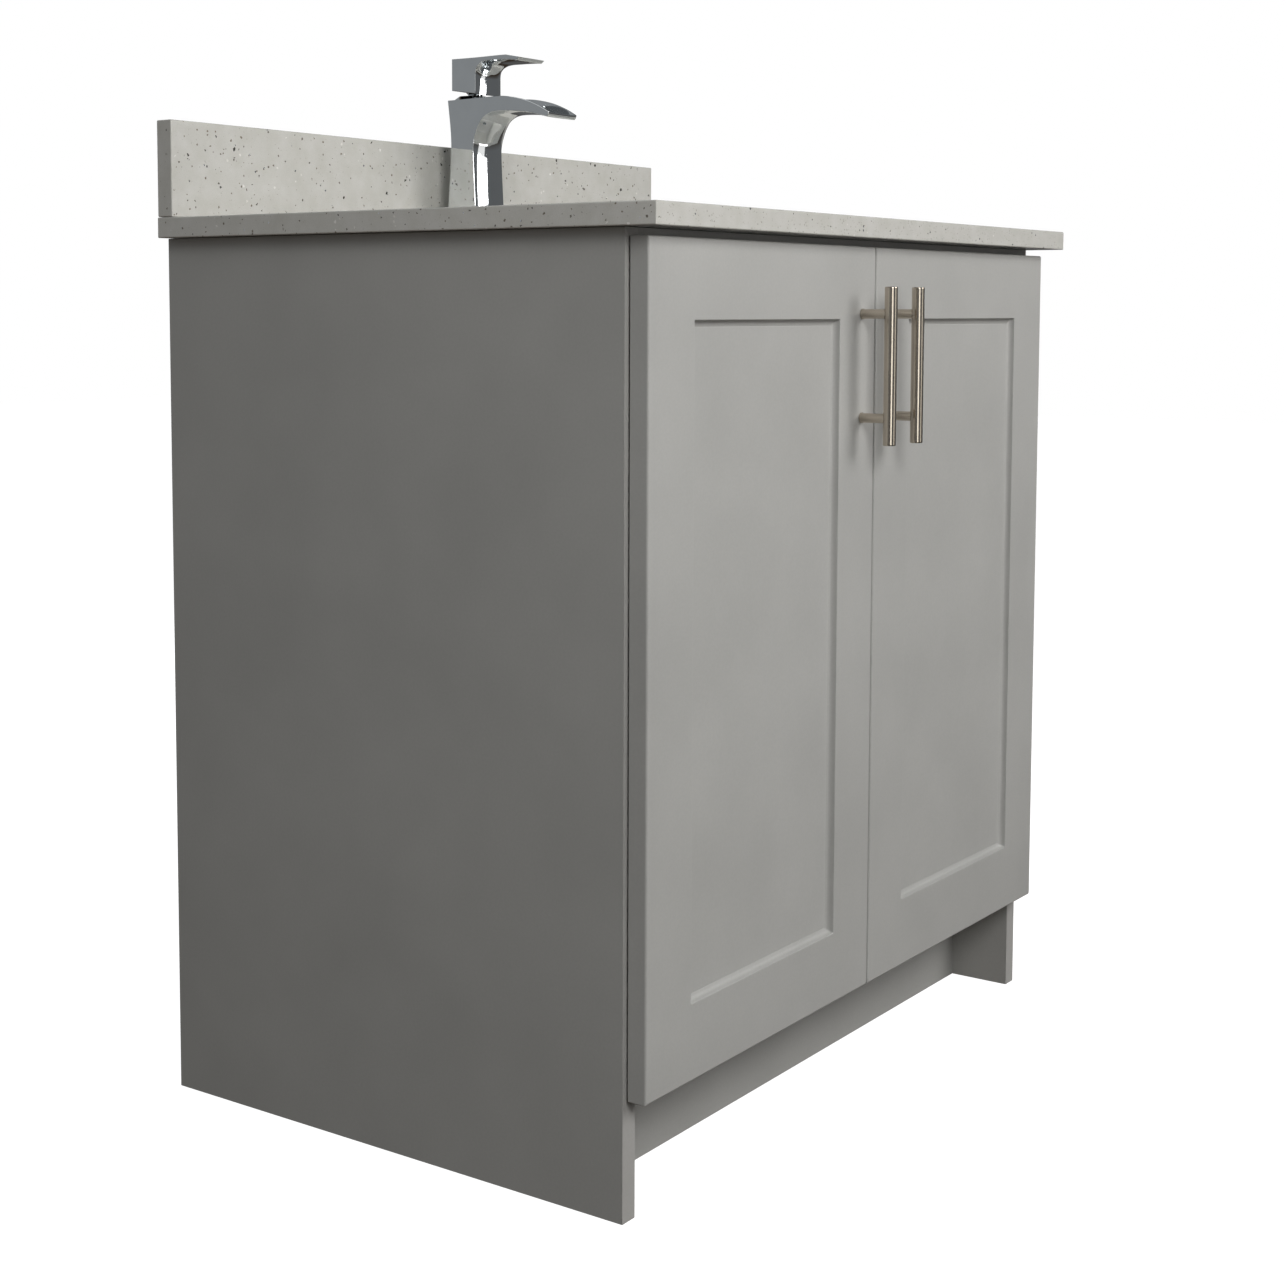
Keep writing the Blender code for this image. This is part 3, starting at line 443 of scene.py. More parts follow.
def curve_point(before, start, end, after, share):
    """A point on the smooth curve from start to end, which the outer two points bend."""
    bend = 2 * before - 5 * start + 4 * end - after
    twist = 3 * start - before - 3 * end + after
    return 0.5 * (2 * start + (end - before) * share + bend * share * share + twist * share**3)


def smooth_line(points, count, steps=24):
    """Evenly spaced points on a smooth curve through these points."""
    points = [Vector(point) for point in points]
    guide = [2 * points[0] - points[1], *points, 2 * points[-1] - points[-2]]
    dense = []
    for i in range(1, len(guide) - 2):
        dense += [curve_point(*guide[i - 1 : i + 3], step / steps) for step in range(steps)]
    dense.append(points[-1])
    travelled = [0.0]
    for a, b in zip(dense, dense[1:]):
        travelled.append(travelled[-1] + (b - a).length)
    found, index = [], 0
    for i in range(count):
        goal = travelled[-1] * i / (count - 1)
        while index < len(dense) - 2 and travelled[index + 1] < goal:
            index += 1
        span = travelled[index + 1] - travelled[index] or 1
        found.append(dense[index].lerp(dense[index + 1], (goal - travelled[index]) / span))
    return found


# Carcass

BAND = 0.0008
BAND_ROUND = 0.0003
BAND_SEAM = 0.00005


def banded_board(node, board_name, band_name):
    """A board with a separate strip of banding on its front edge."""
    low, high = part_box(node)
    front = low[1] + BAND
    panel = board(board_name, (low[0], front, low[2]), high, PANEL_FACE)
    stands_for(panel, "cabinet", "cabinet_panels", node)
    band = board(band_name, low, (high[0], front - BAND_SEAM, high[2]), EDGE_BAND, BAND_ROUND)
    stands_for(band, "cabinet", "cabinet_panels")


def make_carcass():
    for side in SIDES:
        banded_board(f"side_panel_{side}", f"side_board_{side}", f"side_band_{side}")
    for name in ("bottom_panel", "front_top_rail"):
        banded_board(name, f"{name}_board", f"{name}_band")
    for name in ("toe_kick", "back_rail_top", "back_rail_bottom"):
        low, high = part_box(name)
        stands_for(board(f"{name}_board", low, high, PANEL_FACE), "cabinet", "cabinet_panels", name)


# Doors

DOOR_FRONT, DOOR_BACK = -0.252, -0.234
DOOR_FRAME = 0.067
DOOR_RECESS = 0.006
DOOR_ROUND = 0.0021
DOOR_ARRIS = 0.0009
DOOR_COVE = 0.0046
DOOR_SHARP = 24
HINGE_CUP_X = 0.3545
CUP_BORE = (0.0178, 0.0118)
SCREW_BORE = (0.0024, 0.03)
BORE_START = -0.01


def door_profile():
    """(inset from the door's edge, Y, corner radius) from the back arris over the face to the sunk panel."""
    rows = [(0.0006, DOOR_BACK, 0.0004), (0.00018, DOOR_BACK - 0.00018, 0.0008), (0, DOOR_BACK - 0.0006, 0.001)]
    for inset, y in arc((DOOR_ROUND, DOOR_FRONT + DOOR_ROUND), DOOR_ROUND, 180, 270, 7):
        rows.append((inset, y, 0.001 + inset / 2))
    edge = DOOR_FRAME - DOOR_ARRIS
    rows += [(x, y, 0.0012) for x, y in arc((edge, DOOR_FRONT + DOOR_ARRIS), DOOR_ARRIS, 270, 360, 4)]
    sunk = DOOR_FRONT + DOOR_RECESS
    foot = DOOR_FRAME + 0.0001 + DOOR_COVE
    rows += [(x, y, 0.0016) for x, y in arc((foot, sunk - DOOR_COVE), DOOR_COVE, 180, 90, 6)]
    return rows + [(foot + 0.0007, sunk + 0.00035, 0.0014), (foot + 0.0014, sunk, 0.0012)]


def make_door(side, sign):
    """A leaf bored from behind for its hinge cups and its pull's screws."""
    low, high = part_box(f"door_{side}")
    middle = centre(f"door_{side}")
    half_width, half_height = (high[0] - low[0]) / 2, (high[2] - low[2]) / 2
    rings = []
    for inset, y, corner in door_profile():
        outline = rounded_rectangle(half_width - inset, half_height - inset, corner, 4)
        rings.append([(middle[0] + x, y, middle[2] + z) for x, z in outline])
    bm = bmesh.new()
    bridge(bm, rings)
    door = piece(f"door_leaf_{side}", bm, DOOR_PAINT, DOOR_SHARP)
    radius, depth = CUP_BORE
    cup_bore = [(0, BORE_START), (radius + 0.0003, BORE_START), (radius, 0), (radius, depth), (0, depth)]
    radius, depth = SCREW_BORE
    screw_bore = [(0, BORE_START), (radius, BORE_START), (radius, depth), (0, depth)]
    tools = []
    for level in LEVELS:
        place = (sign * HINGE_CUP_X, DOOR_BACK, centre(f"hinge_cup_{level}_{side}")[2])
        tools.append(turned("bore", cup_bore, place, DOOR_PAINT, "Y", 64))
        x, _, height = centre(f"pull_post_{level}_{side}")
        tools.append(turned("bore", screw_bore, (x, DOOR_BACK, height), DOOR_PAINT, "Y", 24))
    cut(door, *tools)
    stands_for(door, f"door_{side}", "doors", f"door_{side}")


# Bar pulls

POST_CORE = 0.0021
SCREW_ROOT, SCREW_CREST, SCREW_PITCH = 0.0016, 0.0019, 0.0008
CROSS_LENGTH, CROSS_WIDTH, CROSS_DEPTH = 0.0040, 0.0007, 0.0011
BUMPER_RIM = 0.35  # the straight part of a bumper's height


def make_pull(side):
    body = f"door_{side}"
    low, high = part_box(f"pull_bar_{side}")
    x, y, _ = centre(f"pull_bar_{side}")
    profile = rounded_rod((high[0] - low[0]) / 2, low[2], high[2], 0.0011)
    bar = turned(f"pull_rod_{side}", profile, (x, y, 0), PULL_NICKEL, "Z", 64)
    stands_for(bar, body, "pull_nickel", f"pull_bar_{side}")
    for level in LEVELS:
        node = f"pull_post_{level}_{side}"
        low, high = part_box(node)
        radius, height = (high[0] - low[0]) / 2, centre(node)[2]
        foot, head, stem = -high[1], -low[1], radius - 0.0005
        profile = [(POST_CORE, foot), (radius - 0.0004, foot), (radius, foot + 0.0004), (radius, foot + 0.0016)]
        profile += [(stem, foot + 0.0024), (stem, head), (POST_CORE, head)]
        post = turned(f"pull_stem_{level}_{side}", profile, (x, 0, height), POST_NICKEL, "Y")
        stands_for(post, body, "pull_nickel", node)
        make_pull_screw(level, side, body)
        make_bumper(level, side, body)


def make_pull_screw(level, side, body):
    """A machine screw with a cross recess in a low domed head."""
    node = f"pull_screw_{level}_{side}"
    low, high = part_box(node)
    x, _, height = centre(node)
    head = (high[0] - low[0]) / 2
    back, tip = -high[1], -low[1]
    profile = [(0, back), (head * 0.55, back + 0.0001), (head * 0.86, back + 0.0006), (head, back + 0.0015)]
    profile += [(head, back + 0.0024), (SCREW_CREST, back + 0.0025)]
    for i in range(int((tip - back - 0.004) / SCREW_PITCH)):
        start = back + 0.0032 + i * SCREW_PITCH
        profile += [(SCREW_ROOT, start), (SCREW_CREST, start + SCREW_PITCH / 2)]
    profile += [(0.0015, tip - 0.0002), (0, tip)]
    screw = turned(f"pull_bolt_{level}_{side}", profile, (x, 0, height), STEEL, "Y", 24)
    arms = []
    for wide, tall in ((CROSS_LENGTH, CROSS_WIDTH), (CROSS_WIDTH, CROSS_LENGTH)):
        corner = Vector((x - wide / 2, high[1] - CROSS_DEPTH, height - tall / 2))
        arms.append(board("slot", corner, corner + Vector((wide, 0.01, tall)), STEEL, 0.0001, 1))
    cut(screw, *arms)
    stands_for(screw, body, "zinc_steel", node)


def make_bumper(level, side, body):
    """A clear dot: a straight rim under a low dome."""
    node = f"bumper_{level}_{side}"
    low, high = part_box(node)
    x, _, height = centre(node)
    radius, thick = (high[0] - low[0]) / 2, high[1] - low[1]
    dome = arc((0, 0), 1.0, 0, 90, 8)[:-1]
    profile = [(0, 0), (radius, 0)]
    profile += [(radius * across, -thick * (BUMPER_RIM + (1 - BUMPER_RIM) * up)) for across, up in dome]
    profile += [(0, -thick)]
    dot = turned(f"bumper_dot_{level}_{side}", profile, (x, low[1], height), CLEAR_RUBBER, "Y", 32)
    stands_for(dot, body, "bumpers", node)


# Concealed hinges

PIN_X, PIN_Y = 0.357, -0.229
CUP_WALL, CUP_RADIUS, CUP_DEPTH, CUP_RIM = 0.0011, 0.0173, 0.0113, 0.0190
CUP_ROUND = 0.003
WING_HALF = (0.011, 0.0068)
ARM_SHEET, ARM_BEND, ARM_TAPER = 0.0015, 0.0022, 0.72


def screw_head_into(bm, place, radius, axis, outward):
    """A low domed head with a hollow in its middle, facing outward along the axis."""
    profile = [(0, 0.0004), (radius * 0.2, 0.0004), (radius * 0.28, 0.0011), (radius * 0.7, 0.0010)]
    profile += [(radius * 0.95, 0.0005), (radius, 0), (radius, -0.0004), (0, -0.0004)]
    turn_into(bm, [(r, h * outward) for r, h in profile], place, axis, 24)


def make_hinge(side, sign, level):
    height = centre(f"hinge_cup_{level}_{side}")[2]
    make_hinge_cup(side, sign, level, height)
    make_hinge_strap(side, sign, level, height)
    make_hinge_arm(side, sign, level, height)
    make_hinge_plate(side, sign, level, height)


def make_hinge_cup(side, sign, level, height):
    """A pressed cup with two screwed wings, and the ears that hold its pin."""
    x, pin_x = sign * HINGE_CUP_X, sign * PIN_X
    inside, floor = CUP_RADIUS - CUP_WALL, CUP_DEPTH - CUP_WALL
    profile = [(0, floor), *arc((inside - CUP_ROUND, floor - CUP_ROUND), CUP_ROUND, 90, 0, 5)]
    profile += [(inside, -0.0009), (inside + 0.0005, -0.0015), (CUP_RIM - 0.0004, -0.0015), (CUP_RIM, -0.0011)]
    profile += [(CUP_RIM, -0.0003), (CUP_RADIUS, -0.0003)]
    profile += arc((CUP_RADIUS - CUP_ROUND, CUP_DEPTH - CUP_ROUND), CUP_ROUND, 0, 90, 5)
    profile += [(0, CUP_DEPTH)]
    bm = bmesh.new()
    turn_into(bm, profile, (x, DOOR_BACK, height), "Y", 64)
    wide, tall = WING_HALF
    outline = rounded_rectangle(wide, tall, 0.005)
    for end in (-1, 1):
        middle = height + end * 0.0232
        rings = []
        for inset, proud in ((0, 0.0003), (0, 0.0012), (0.0004, 0.0015)):
            across, up = 1 - inset / wide, 1 - inset / tall
            rings.append([(x + a * across, DOOR_BACK + proud, middle + b * up) for a, b in outline])
        bridge(bm, rings)
        screw_head_into(bm, (x, DOOR_BACK + 0.0015, height + end * 0.0247), 0.0035, "Y", -1)
        ear = height + end * 0.00575
        ear_low = (pin_x - 0.0032, DOOR_BACK - 0.0107, ear - 0.00075)
        board_into(bm, ear_low, (pin_x + 0.0032, DOOR_BACK + 0.0082, ear + 0.00075), 0.0003)
    turn_into(bm, rounded_rod(0.0015, -0.0069, 0.0069, 0.0003, 2), (pin_x, PIN_Y, height), "Z", 24)
    cup = piece(f"hinge_bowl_{level}_{side}", bm, HINGE_NICKEL)
    stands_for(cup, f"door_{side}", "hinge_nickel", f"hinge_cup_{level}_{side}")


def make_hinge_strap(side, sign, level, height):
    """A pressed strap rolled round the cup's pin."""
    x = sign * PIN_X
    barrel = [(0.0018, -0.0045), (0.0029, -0.0045), (0.0032, -0.0042)]
    barrel += [(radius, -end) for radius, end in barrel[::-1]]
    bm = bmesh.new()
    turn_into(bm, barrel, (x, PIN_Y, height), "Z", 32)
    low = (x - 0.00125, PIN_Y + 0.0022, height - 0.0041)
    board_into(bm, low, (x + 0.00125, PIN_Y + 0.042, height + 0.0041), 0.0005, 3)
    strap = piece(f"hinge_strap_{level}_{side}", bm, HINGE_NICKEL)
    stands_for(strap, f"hinge_links_{side}", "hinge_nickel", f"hinge_link_{level}_{side}")


def make_hinge_arm(side, sign, level, height):
    """A channel pressed from sheet, tapered towards its closed back, with two adjusting screws."""
    node = f"hinge_arm_{level}_{side}"
    low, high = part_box(node)
    face, root = (low[0], high[0]) if sign > 0 else (high[0], low[0])
    front, back = low[1], high[1]
    widest = (high[2] - low[2]) / 2

    def fold(half, radius):
        """Half of the section, from its open edge round the folded corner."""
        middle = half - ARM_BEND
        turns = [math.radians(18 * i) for i in range(6)]
        corner = [(face + sign * (ARM_BEND - radius * math.sin(t)), middle + radius * math.cos(t)) for t in turns]
        return [(root, middle + radius), *corner]

    rings = []
    stations = ((front, 1), (front + 0.004, 1), (front + 0.040, 0.92), (back - 0.004, 0.80), (back, ARM_TAPER))
    for y, narrow in stations:
        half = widest * narrow
        outer, inner = fold(half, ARM_BEND), fold(half, ARM_BEND - ARM_SHEET)
        ring = outer + [(x, -z) for x, z in outer[::-1]] + [(x, -z) for x, z in inner] + inner[::-1]
        rings.append([(x, y, height + z) for x, z in ring])
    bm = bmesh.new()
    bridge(bm, rings)
    half = widest * ARM_TAPER - ARM_SHEET
    x_near, x_far = sorted((face + sign * ARM_SHEET, root))
    board_into(bm, (x_near, back - ARM_SHEET, height - half), (x_far, back - 0.0003, height + half), 0.0002, 1)
    for y, radius in ((front + 0.020, 0.0030), (back - 0.014, 0.0036)):
        screw_head_into(bm, (face - sign * 0.0001, y, height), radius, "X", -sign)
    arm = piece(f"hinge_channel_{level}_{side}", bm, HINGE_NICKEL)
    stands_for(arm, "cabinet", "hinge_nickel", node)


def make_hinge_plate(side, sign, level, height):
    """A base plate with two rounded wings and their fixing screws."""
    node = f"hinge_plate_{level}_{side}"
    low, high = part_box(node)
    middle = centre(node)[1]
    long, tall = (high[1] - low[1]) / 2, (high[2] - low[2]) / 2
    face, root = (low[0], high[0]) if sign > 0 else (high[0], low[0])
    quarter = [(long, 0.0), (long, 0.0075), (long - 0.002, 0.0095), (0.0125, 0.0105), (0.0095, 0.0125)]
    quarter += [(0.0085, 0.0195), (0.0065, 0.0235), (0.0025, tall)]
    outline = quarter + [(-y, z) for y, z in quarter[::-1]]
    outline += [(-y, -z) for y, z in quarter[1:]] + [(y, -z) for y, z in quarter[:0:-1]]
    rings = []
    for inset, x in ((0.0, root), (0.0, face + sign * 0.0005), (0.0005, face)):
        along, up = 1 - inset / long, 1 - inset / tall
        rings.append([(x, middle + y * along, height + z * up) for y, z in outline])
    bm = bmesh.new()
    bridge(bm, rings)
    for end in (-1, 1):
        screw_head_into(bm, (face, middle, height + end * 0.0165), 0.0038, "X", -sign)
    plate = piece(f"hinge_base_{level}_{side}", bm, HINGE_NICKEL)
    stands_for(plate, "cabinet", "hinge_nickel", node)


# Stone top, backsplash and basin

STONE_LOW, STONE_TOP = 0.813, 0.832
STONE_ARRIS = 0.0012
OPENING_EASE = 0.0016
TAP_HOLE = 0.0175
BASIN_Y = -0.002
BASIN_HALF = (0.215, 0.160)
BASIN_CORNER = 0.050
BASIN_WALL = 0.010
BASIN_FLOOR = 0.663
BASIN_FOOT = 0.034  # height over which the walls round into the floor
BASIN_FLANGE = 0.012
DRAIN_HOLE = 0.0215
FAUCET_Y, FAUCET_BASE = 0.228, 0.8323


def stone_slab(name, low, high, sharp_back):
    """A polished slab with eased arrises, but for the edges on the wall side if sharp_back."""
    bm = bmesh.new()
    cube_into(bm, low, high)
    edges = [e for e in bm.edges if not sharp_back or (e.verts[0].co.y + e.verts[1].co.y) / 2 < high[1] - 1e-4]
    bmesh.ops.bevel(bm, geom=edges, offset=STONE_ARRIS, segments=4, profile=0.5, affect="EDGES")
    return piece(name, bm, QUARTZ)


def basin_ring(half_x, half_y, corner, z):
    return [(x, BASIN_Y + y, z) for x, y in rounded_rectangle(half_x, half_y, corner, 16)]


def make_stone():
    low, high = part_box("countertop")
    slab = stone_slab("stone_slab", low, high, True)
    half_x, half_y = BASIN_HALF
    flares = [(0.0, STONE_LOW - 0.01), (0.0, STONE_TOP - OPENING_EASE)]
    flares += arc((OPENING_EASE, STONE_TOP - OPENING_EASE), OPENING_EASE, 180, 90, 6)[1:-1]
    flares += [(OPENING_EASE * 1.2, STONE_TOP + 0.002), (OPENING_EASE * 1.2, STONE_TOP + 0.01)]
    bm = bmesh.new()
    bridge(bm, [basin_ring(half_x + grow, half_y + grow, BASIN_CORNER + grow, z) for grow, z in flares])
    opening = piece("opening", bm, QUARTZ)
    bore = [(0, -0.05), (TAP_HOLE, -0.05), (TAP_HOLE, 0.05), (0, 0.05)]
    cut(slab, opening, turned("hole", bore, (0, FAUCET_Y, STONE_TOP), QUARTZ))
    stands_for(slab, "cabinet", "quartz", "countertop")
    low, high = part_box("backsplash")
    stands_for(stone_slab("stone_splash", low, high, False), "cabinet", "quartz", "backsplash")


def foot_inset(angle):
    """How far in the bowl lies at this angle of its rounded foot."""
    return 0.004 + 0.032 * (1 - math.cos(angle))


def make_basin():
    """A rounded bowl that falls to its drain, with a flange under the stone."""
    low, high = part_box("basin")
    top, foot, under = high[2], BASIN_FLOOR + BASIN_FOOT, BASIN_FLOOR - BASIN_WALL
    half_x, half_y = BASIN_HALF
    quarter = [math.radians(90 * i / 8) for i in range(9)]
    inside = [(0, BASIN_CORNER, top), (0.0005, BASIN_CORNER - 0.0005, top - 0.001)]
    inside += [(0.0005 * i, BASIN_CORNER, top - 0.001 - (top - foot) * i / 8) for i in range(1, 8)]
    for i, angle in enumerate(quarter):
        inside.append((foot_inset(angle), BASIN_CORNER - 0.002 * i, foot - 0.030 * math.sin(angle)))
    rings = [basin_ring(half_x - inset, half_y - inset, corner, z) for inset, corner, z in inside]
    inset, floor_corner, _ = inside[-1]
    floor_x, floor_y = half_x - inset, half_y - inset
    for share in (0.80, 0.58, 0.38, 0.22, 0.12):
        width = DRAIN_HOLE + (floor_x - DRAIN_HOLE) * share
        depth = DRAIN_HOLE + (floor_y - DRAIN_HOLE) * share
        corner = min(width, depth) * (1 - 0.75 * share)
        rings.append(basin_ring(width, depth, corner, BASIN_FLOOR + 0.004 * share * share))
    rings.append(basin_ring(DRAIN_HOLE, DRAIN_HOLE, DRAIN_HOLE, BASIN_FLOOR - 0.0002))
    rings.append(basin_ring(DRAIN_HOLE, DRAIN_HOLE, DRAIN_HOLE, low[2]))
    rings.append(basin_ring(floor_x + 0.004, floor_y + 0.004, floor_corner + 0.004, under))
    for i, angle in enumerate(quarter[::-1]):
        grow, z = BASIN_WALL - foot_inset(angle), under + BASIN_FOOT * (1 - math.sin(angle))
        rings.append(basin_ring(half_x + grow, half_y + grow, 0.046 + 0.002 * i, z))
    flange = top - BASIN_FLANGE
    for grow, corner, z in ((BASIN_WALL - 0.001, 0.060, flange - 0.002), (BASIN_WALL + 0.001, 0.061, flange)):
        rings.append(basin_ring(half_x + grow, half_y + grow, corner, z))
    reach_x, reach_y = high[0] - 0.0002, (high[1] - low[1]) / 2 - 0.0002
    lip = [(-0.002, flange), (-0.0006, flange + 0.0006), (0, flange + 0.002)]
    lip += [(0, top - 0.002), (-0.0006, top - 0.0006), (-0.002, top)]
    rings += [basin_ring(reach_x + out, reach_y + out, 0.075, z) for out, z in lip]
    bm = bmesh.new()
    bridge(bm, rings, closed=True)
    bmesh.ops.remove_doubles(bm, verts=bm.verts, dist=1e-6)
    basin = piece("basin_bowl", bm, CERAMIC, 50)
    stands_for(basin, "cabinet", "ceramic", "basin")


# Drain


def thread(radius, low, high, pitch, depth=0.0006):
    """The outer profile of a thread, upward, as a stack of ridges."""
    ridges = max(1, int((high - low) / pitch))
    profile = []
    for i in range(ridges):
        start = low + (high - low) * i / ridges
        profile += [(radius - depth, start), (radius, start + pitch * 0.5)]
    return profile + [(radius - depth, high)]


def make_drain():
    middle = (0, BASIN_Y, 0)
    low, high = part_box("drain_body")
    bottom, top = low[2], high[2]
    profile = [(0.0160, bottom + 0.0006), (0.0166, bottom), (0.0202, bottom)]
    profile += thread(0.0210, bottom + 0.001, top - 0.012, 0.002)
    profile += [(0.0205, top - 0.0025), (0.0300, top - 0.0025), (0.0308, top - 0.0021), (0.0310, top - 0.0014)]
    profile += [(0.0302, top - 0.0006), (0.0270, top - 0.0001), (0.0236, top), (0.0214, top - 0.0006)]
    profile += [(0.0200, top - 0.0016), (0.0170, top - 0.0040), (0.0160, top - 0.0055)]
    flange = turned("drain_flange", profile, middle, CHROME, sides=64)
    stands_for(flange, "cabinet", "chrome", "drain_body")

    low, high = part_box("drain_gasket")
    inner, outer, mid = 0.0213, 0.030, (low[2] + high[2]) / 2
    profile = [(inner, low[2] + 0.0004), (inner + 0.0004, low[2])]
    profile += [(outer - 0.0012, low[2]), (outer, low[2] + 0.0012)]
    profile += [(outer - 0.0004, mid), (outer, high[2] - 0.0012), (outer - 0.0012, high[2])]
    profile += [(inner + 0.0004, high[2]), (inner, high[2] - 0.0004)]
    stands_for(turned("drain_seal", profile, middle, BLACK_RUBBER), "cabinet", "black_rubber", "drain_gasket")

    low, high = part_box("drain_nut")
    bm = bmesh.new()
    hexagon_into(bm, high[0], low[2], high[2], middle, 0.0213)
    stands_for(piece("drain_locknut", bm, CHROME), "cabinet", "chrome", "drain_nut")

    low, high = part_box("drain_tailpiece")
    outer, bead = high[0], low[2] + 0.030
    inner, plain = outer - 0.0015, outer - 0.0002
    profile = [(inner, low[2] + 0.0004), (inner + 0.0004, low[2])]
    profile += [(outer - 0.0006, low[2]), (plain, low[2] + 0.0004)]
    profile += [(plain, bead), (outer, bead + 0.0008), (outer, bead + 0.0018), (plain, bead + 0.0026)]
    profile += [(plain, high[2] - 0.0004), (outer - 0.0006, high[2])]
    profile += [(inner + 0.0004, high[2]), (inner, high[2] - 0.0004)]
    stands_for(turned("drain_tube", profile, middle, CHROME), "cabinet", "chrome", "drain_tailpiece")

    low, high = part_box("drain_stopper")
    top, rim = high[2], high[0]
    profile = [(0, top), (0.007, top - 0.0001), (0.013, top - 0.0005), (0.0175, top - 0.0013)]
    profile += [(rim - 0.0005, top - 0.0022), (rim, top - 0.0030), (rim, top - 0.0040)]
    profile += [(rim - 0.0008, top - 0.0049), (0.0060, top - 0.0050)]
    profile += [(0.0045, top - 0.0062), (0.0045, low[2] + 0.0005), (0.0040, low[2]), (0, low[2])]
    stands_for(turned("drain_plug", profile, middle, CHROME, sides=64), "drain_stopper", "chrome", "drain_stopper")


# Faucet. Points are (reach forward of the faucet's axis, height above the stone) in millimetres. Where there are
# two rows, the first is at the side and the second in the middle.

BODY_HALF_WIDTH, BODY_ROUND = 24.35, 0.7
SPOUT_WALL = 2.6
BODY_BACK = ((-19.2, 0), (-18.6, 18), (-15.2, 55), (-13.6, 84), (-14.6, 106), (-18.0, 135))
BODY_TOP = (
    *((-18.0, 135), (8, 135.4), (34, 135.9), (54, 136), (71, 133.7)),
    *((88, 129.3), (103, 123.2), (112, 118.4), (115.3, 116.5)),
)
BODY_TROUGH = (
    *((-18.0, 135), (8, 135.4), (34, 135.8), (44, 135.0), (53, 128.8)),
    *((66, 124.6), (84, 121.0), (102, 117.9), (115.0, 115.9)),
)
BODY_TIP = (
    ((115.3, 116.5), (115.5, 115.6), (114.1, 112.5), (113.0, 111.6)),
    ((115.0, 115.9), (115.2, 115.1), (113.9, 112.2), (112.8, 111.3)),
)
BODY_UNDER = (
    (
        *((113.0, 111.6), (104, 113.9), (92, 116.8), (76, 118.9), (60, 120.2), (47, 120.4)),
        *((37.5, 118.7), (28.5, 113.6), (22.2, 104.5), (18.8, 96), (17.0, 90)),
    ),
    (
        *((112.8, 111.3), (104, 113.2), (92, 115.8), (77, 117.7), (62, 118.5), (50, 118.2)),
        *((41.5, 116.1), (34.2, 111.1), (28.6, 103.3), (25.0, 95.3), (22.6, 88.4)),
    ),
)
BODY_FRONT = (
    ((17.0, 90), (16.2, 84), (16.6, 68), (17.6, 48), (18.9, 22), (19.2, 0)),
    ((22.6, 88.4), (21.8, 82), (21.9, 68), (22.8, 48), (24.0, 22), (24.4, 0)),
)
HANDLE_HALF_WIDTH, HANDLE_ROUND = 21.5, 0.6
HANDLE_BACK = ((-14.5, 145.2), (-14.5, 162), (-14.5, 178.2))
HANDLE_TOP = ((-14.5, 178.2), (10, 178.0), (30, 178.1), (46, 178.3), (57, 178.3))
HANDLE_FACET = ((57, 178.3), (66, 176.6), (75.4, 174.7))
HANDLE_TIP = (
    ((75.4, 174.7), (75.0, 174.2), (72.4, 172.1), (71.2, 171.8)),
    ((75.4, 174.7), (74.9, 174.1), (72.2, 171.9), (71.0, 171.6)),
)
HANDLE_UNDER = (
    ((71.2, 171.8), (66, 172.4), (58, 173.0), (48, 173.4), (38, 173.8)),
    ((71.0, 171.6), (64, 171.5), (57, 171.5), (50, 171.5), (42, 171.6)),
)
HANDLE_CROOK = (
    ((38, 173.8), (30.5, 173.4), (24.4, 171.9), (20.4, 169.0), (18.0, 165.0), (17.3, 160.5)),
    ((42, 171.6), (35.5, 170.9), (30.0, 169.0), (26.2, 166.2), (23.6, 162.4), (22.2, 157.5)),
)
HANDLE_FRONT = (
    ((17.3, 160.5), (17.3, 150), (17.3, 140.6)),
    ((22.2, 157.5), (21.9, 149), (21.7, 140.0)),
)


def side_outline(runs, off):
    """A closed outline seen from the side, off from 0 in the middle plane to 1 at the side.

    Each run is (line at the side, line in the middle, count, power at its start, power at its end). The higher
    the power, the boxier the section.
    """
    outline = []
    for edge, middle, count, first_power, last_power in runs:
        lines = zip(smooth_line(edge, count), smooth_line(middle, count))
        for i, (at_side, in_middle) in enumerate(list(lines)[:-1]):
            power = first_power + (last_power - first_power) * i / (count - 1)
            outline.append(at_side.lerp(in_middle, max(0.0, 1 - off**power)))
    return outline


def inset_outline(outline, distance):
    """The outline drawn in towards its inside, which lies to the right of its direction."""
    moved = []
    for i, point in enumerate(outline):
        along = (outline[(i + 1) % len(outline)] - outline[i - 1]).normalized()
        moved.append(point + Vector((along.y, -along.x)) * distance)
    return moved


def faucet_point(x, y, height):
    """Metres, from millimetres across, towards the wall and above the stone."""
    return Vector((x, y, height)) * 0.001 + Vector((0, FAUCET_Y, FAUCET_BASE))


def side_loft(name, half_width, runs_at, stations, round_by):
    """A solid across X from outlines in the YZ plane: rounded at both sides, and mirrored about its middle."""
    rim = side_outline(runs_at(half_width), 1.0)
    rows = []
    for angle in (90, 60, 30):
        t = math.radians(angle)
        rows.append((half_width - round_by * (1 - math.sin(t)), inset_outline(rim, round_by * (1 - math.cos(t)))))
    for x in stations:
        rows.append((x, side_outline(runs_at(x), min(1.0, x / (half_width - round_by)))))
    rows += [(-x, outline) for x, outline in rows[::-1] if x > 0]
    bm = bmesh.new()
    bridge(bm, [[faucet_point(x, -reach, height) for reach, height in outline] for x, outline in rows])
    return piece(name, bm, CHROME, 28)


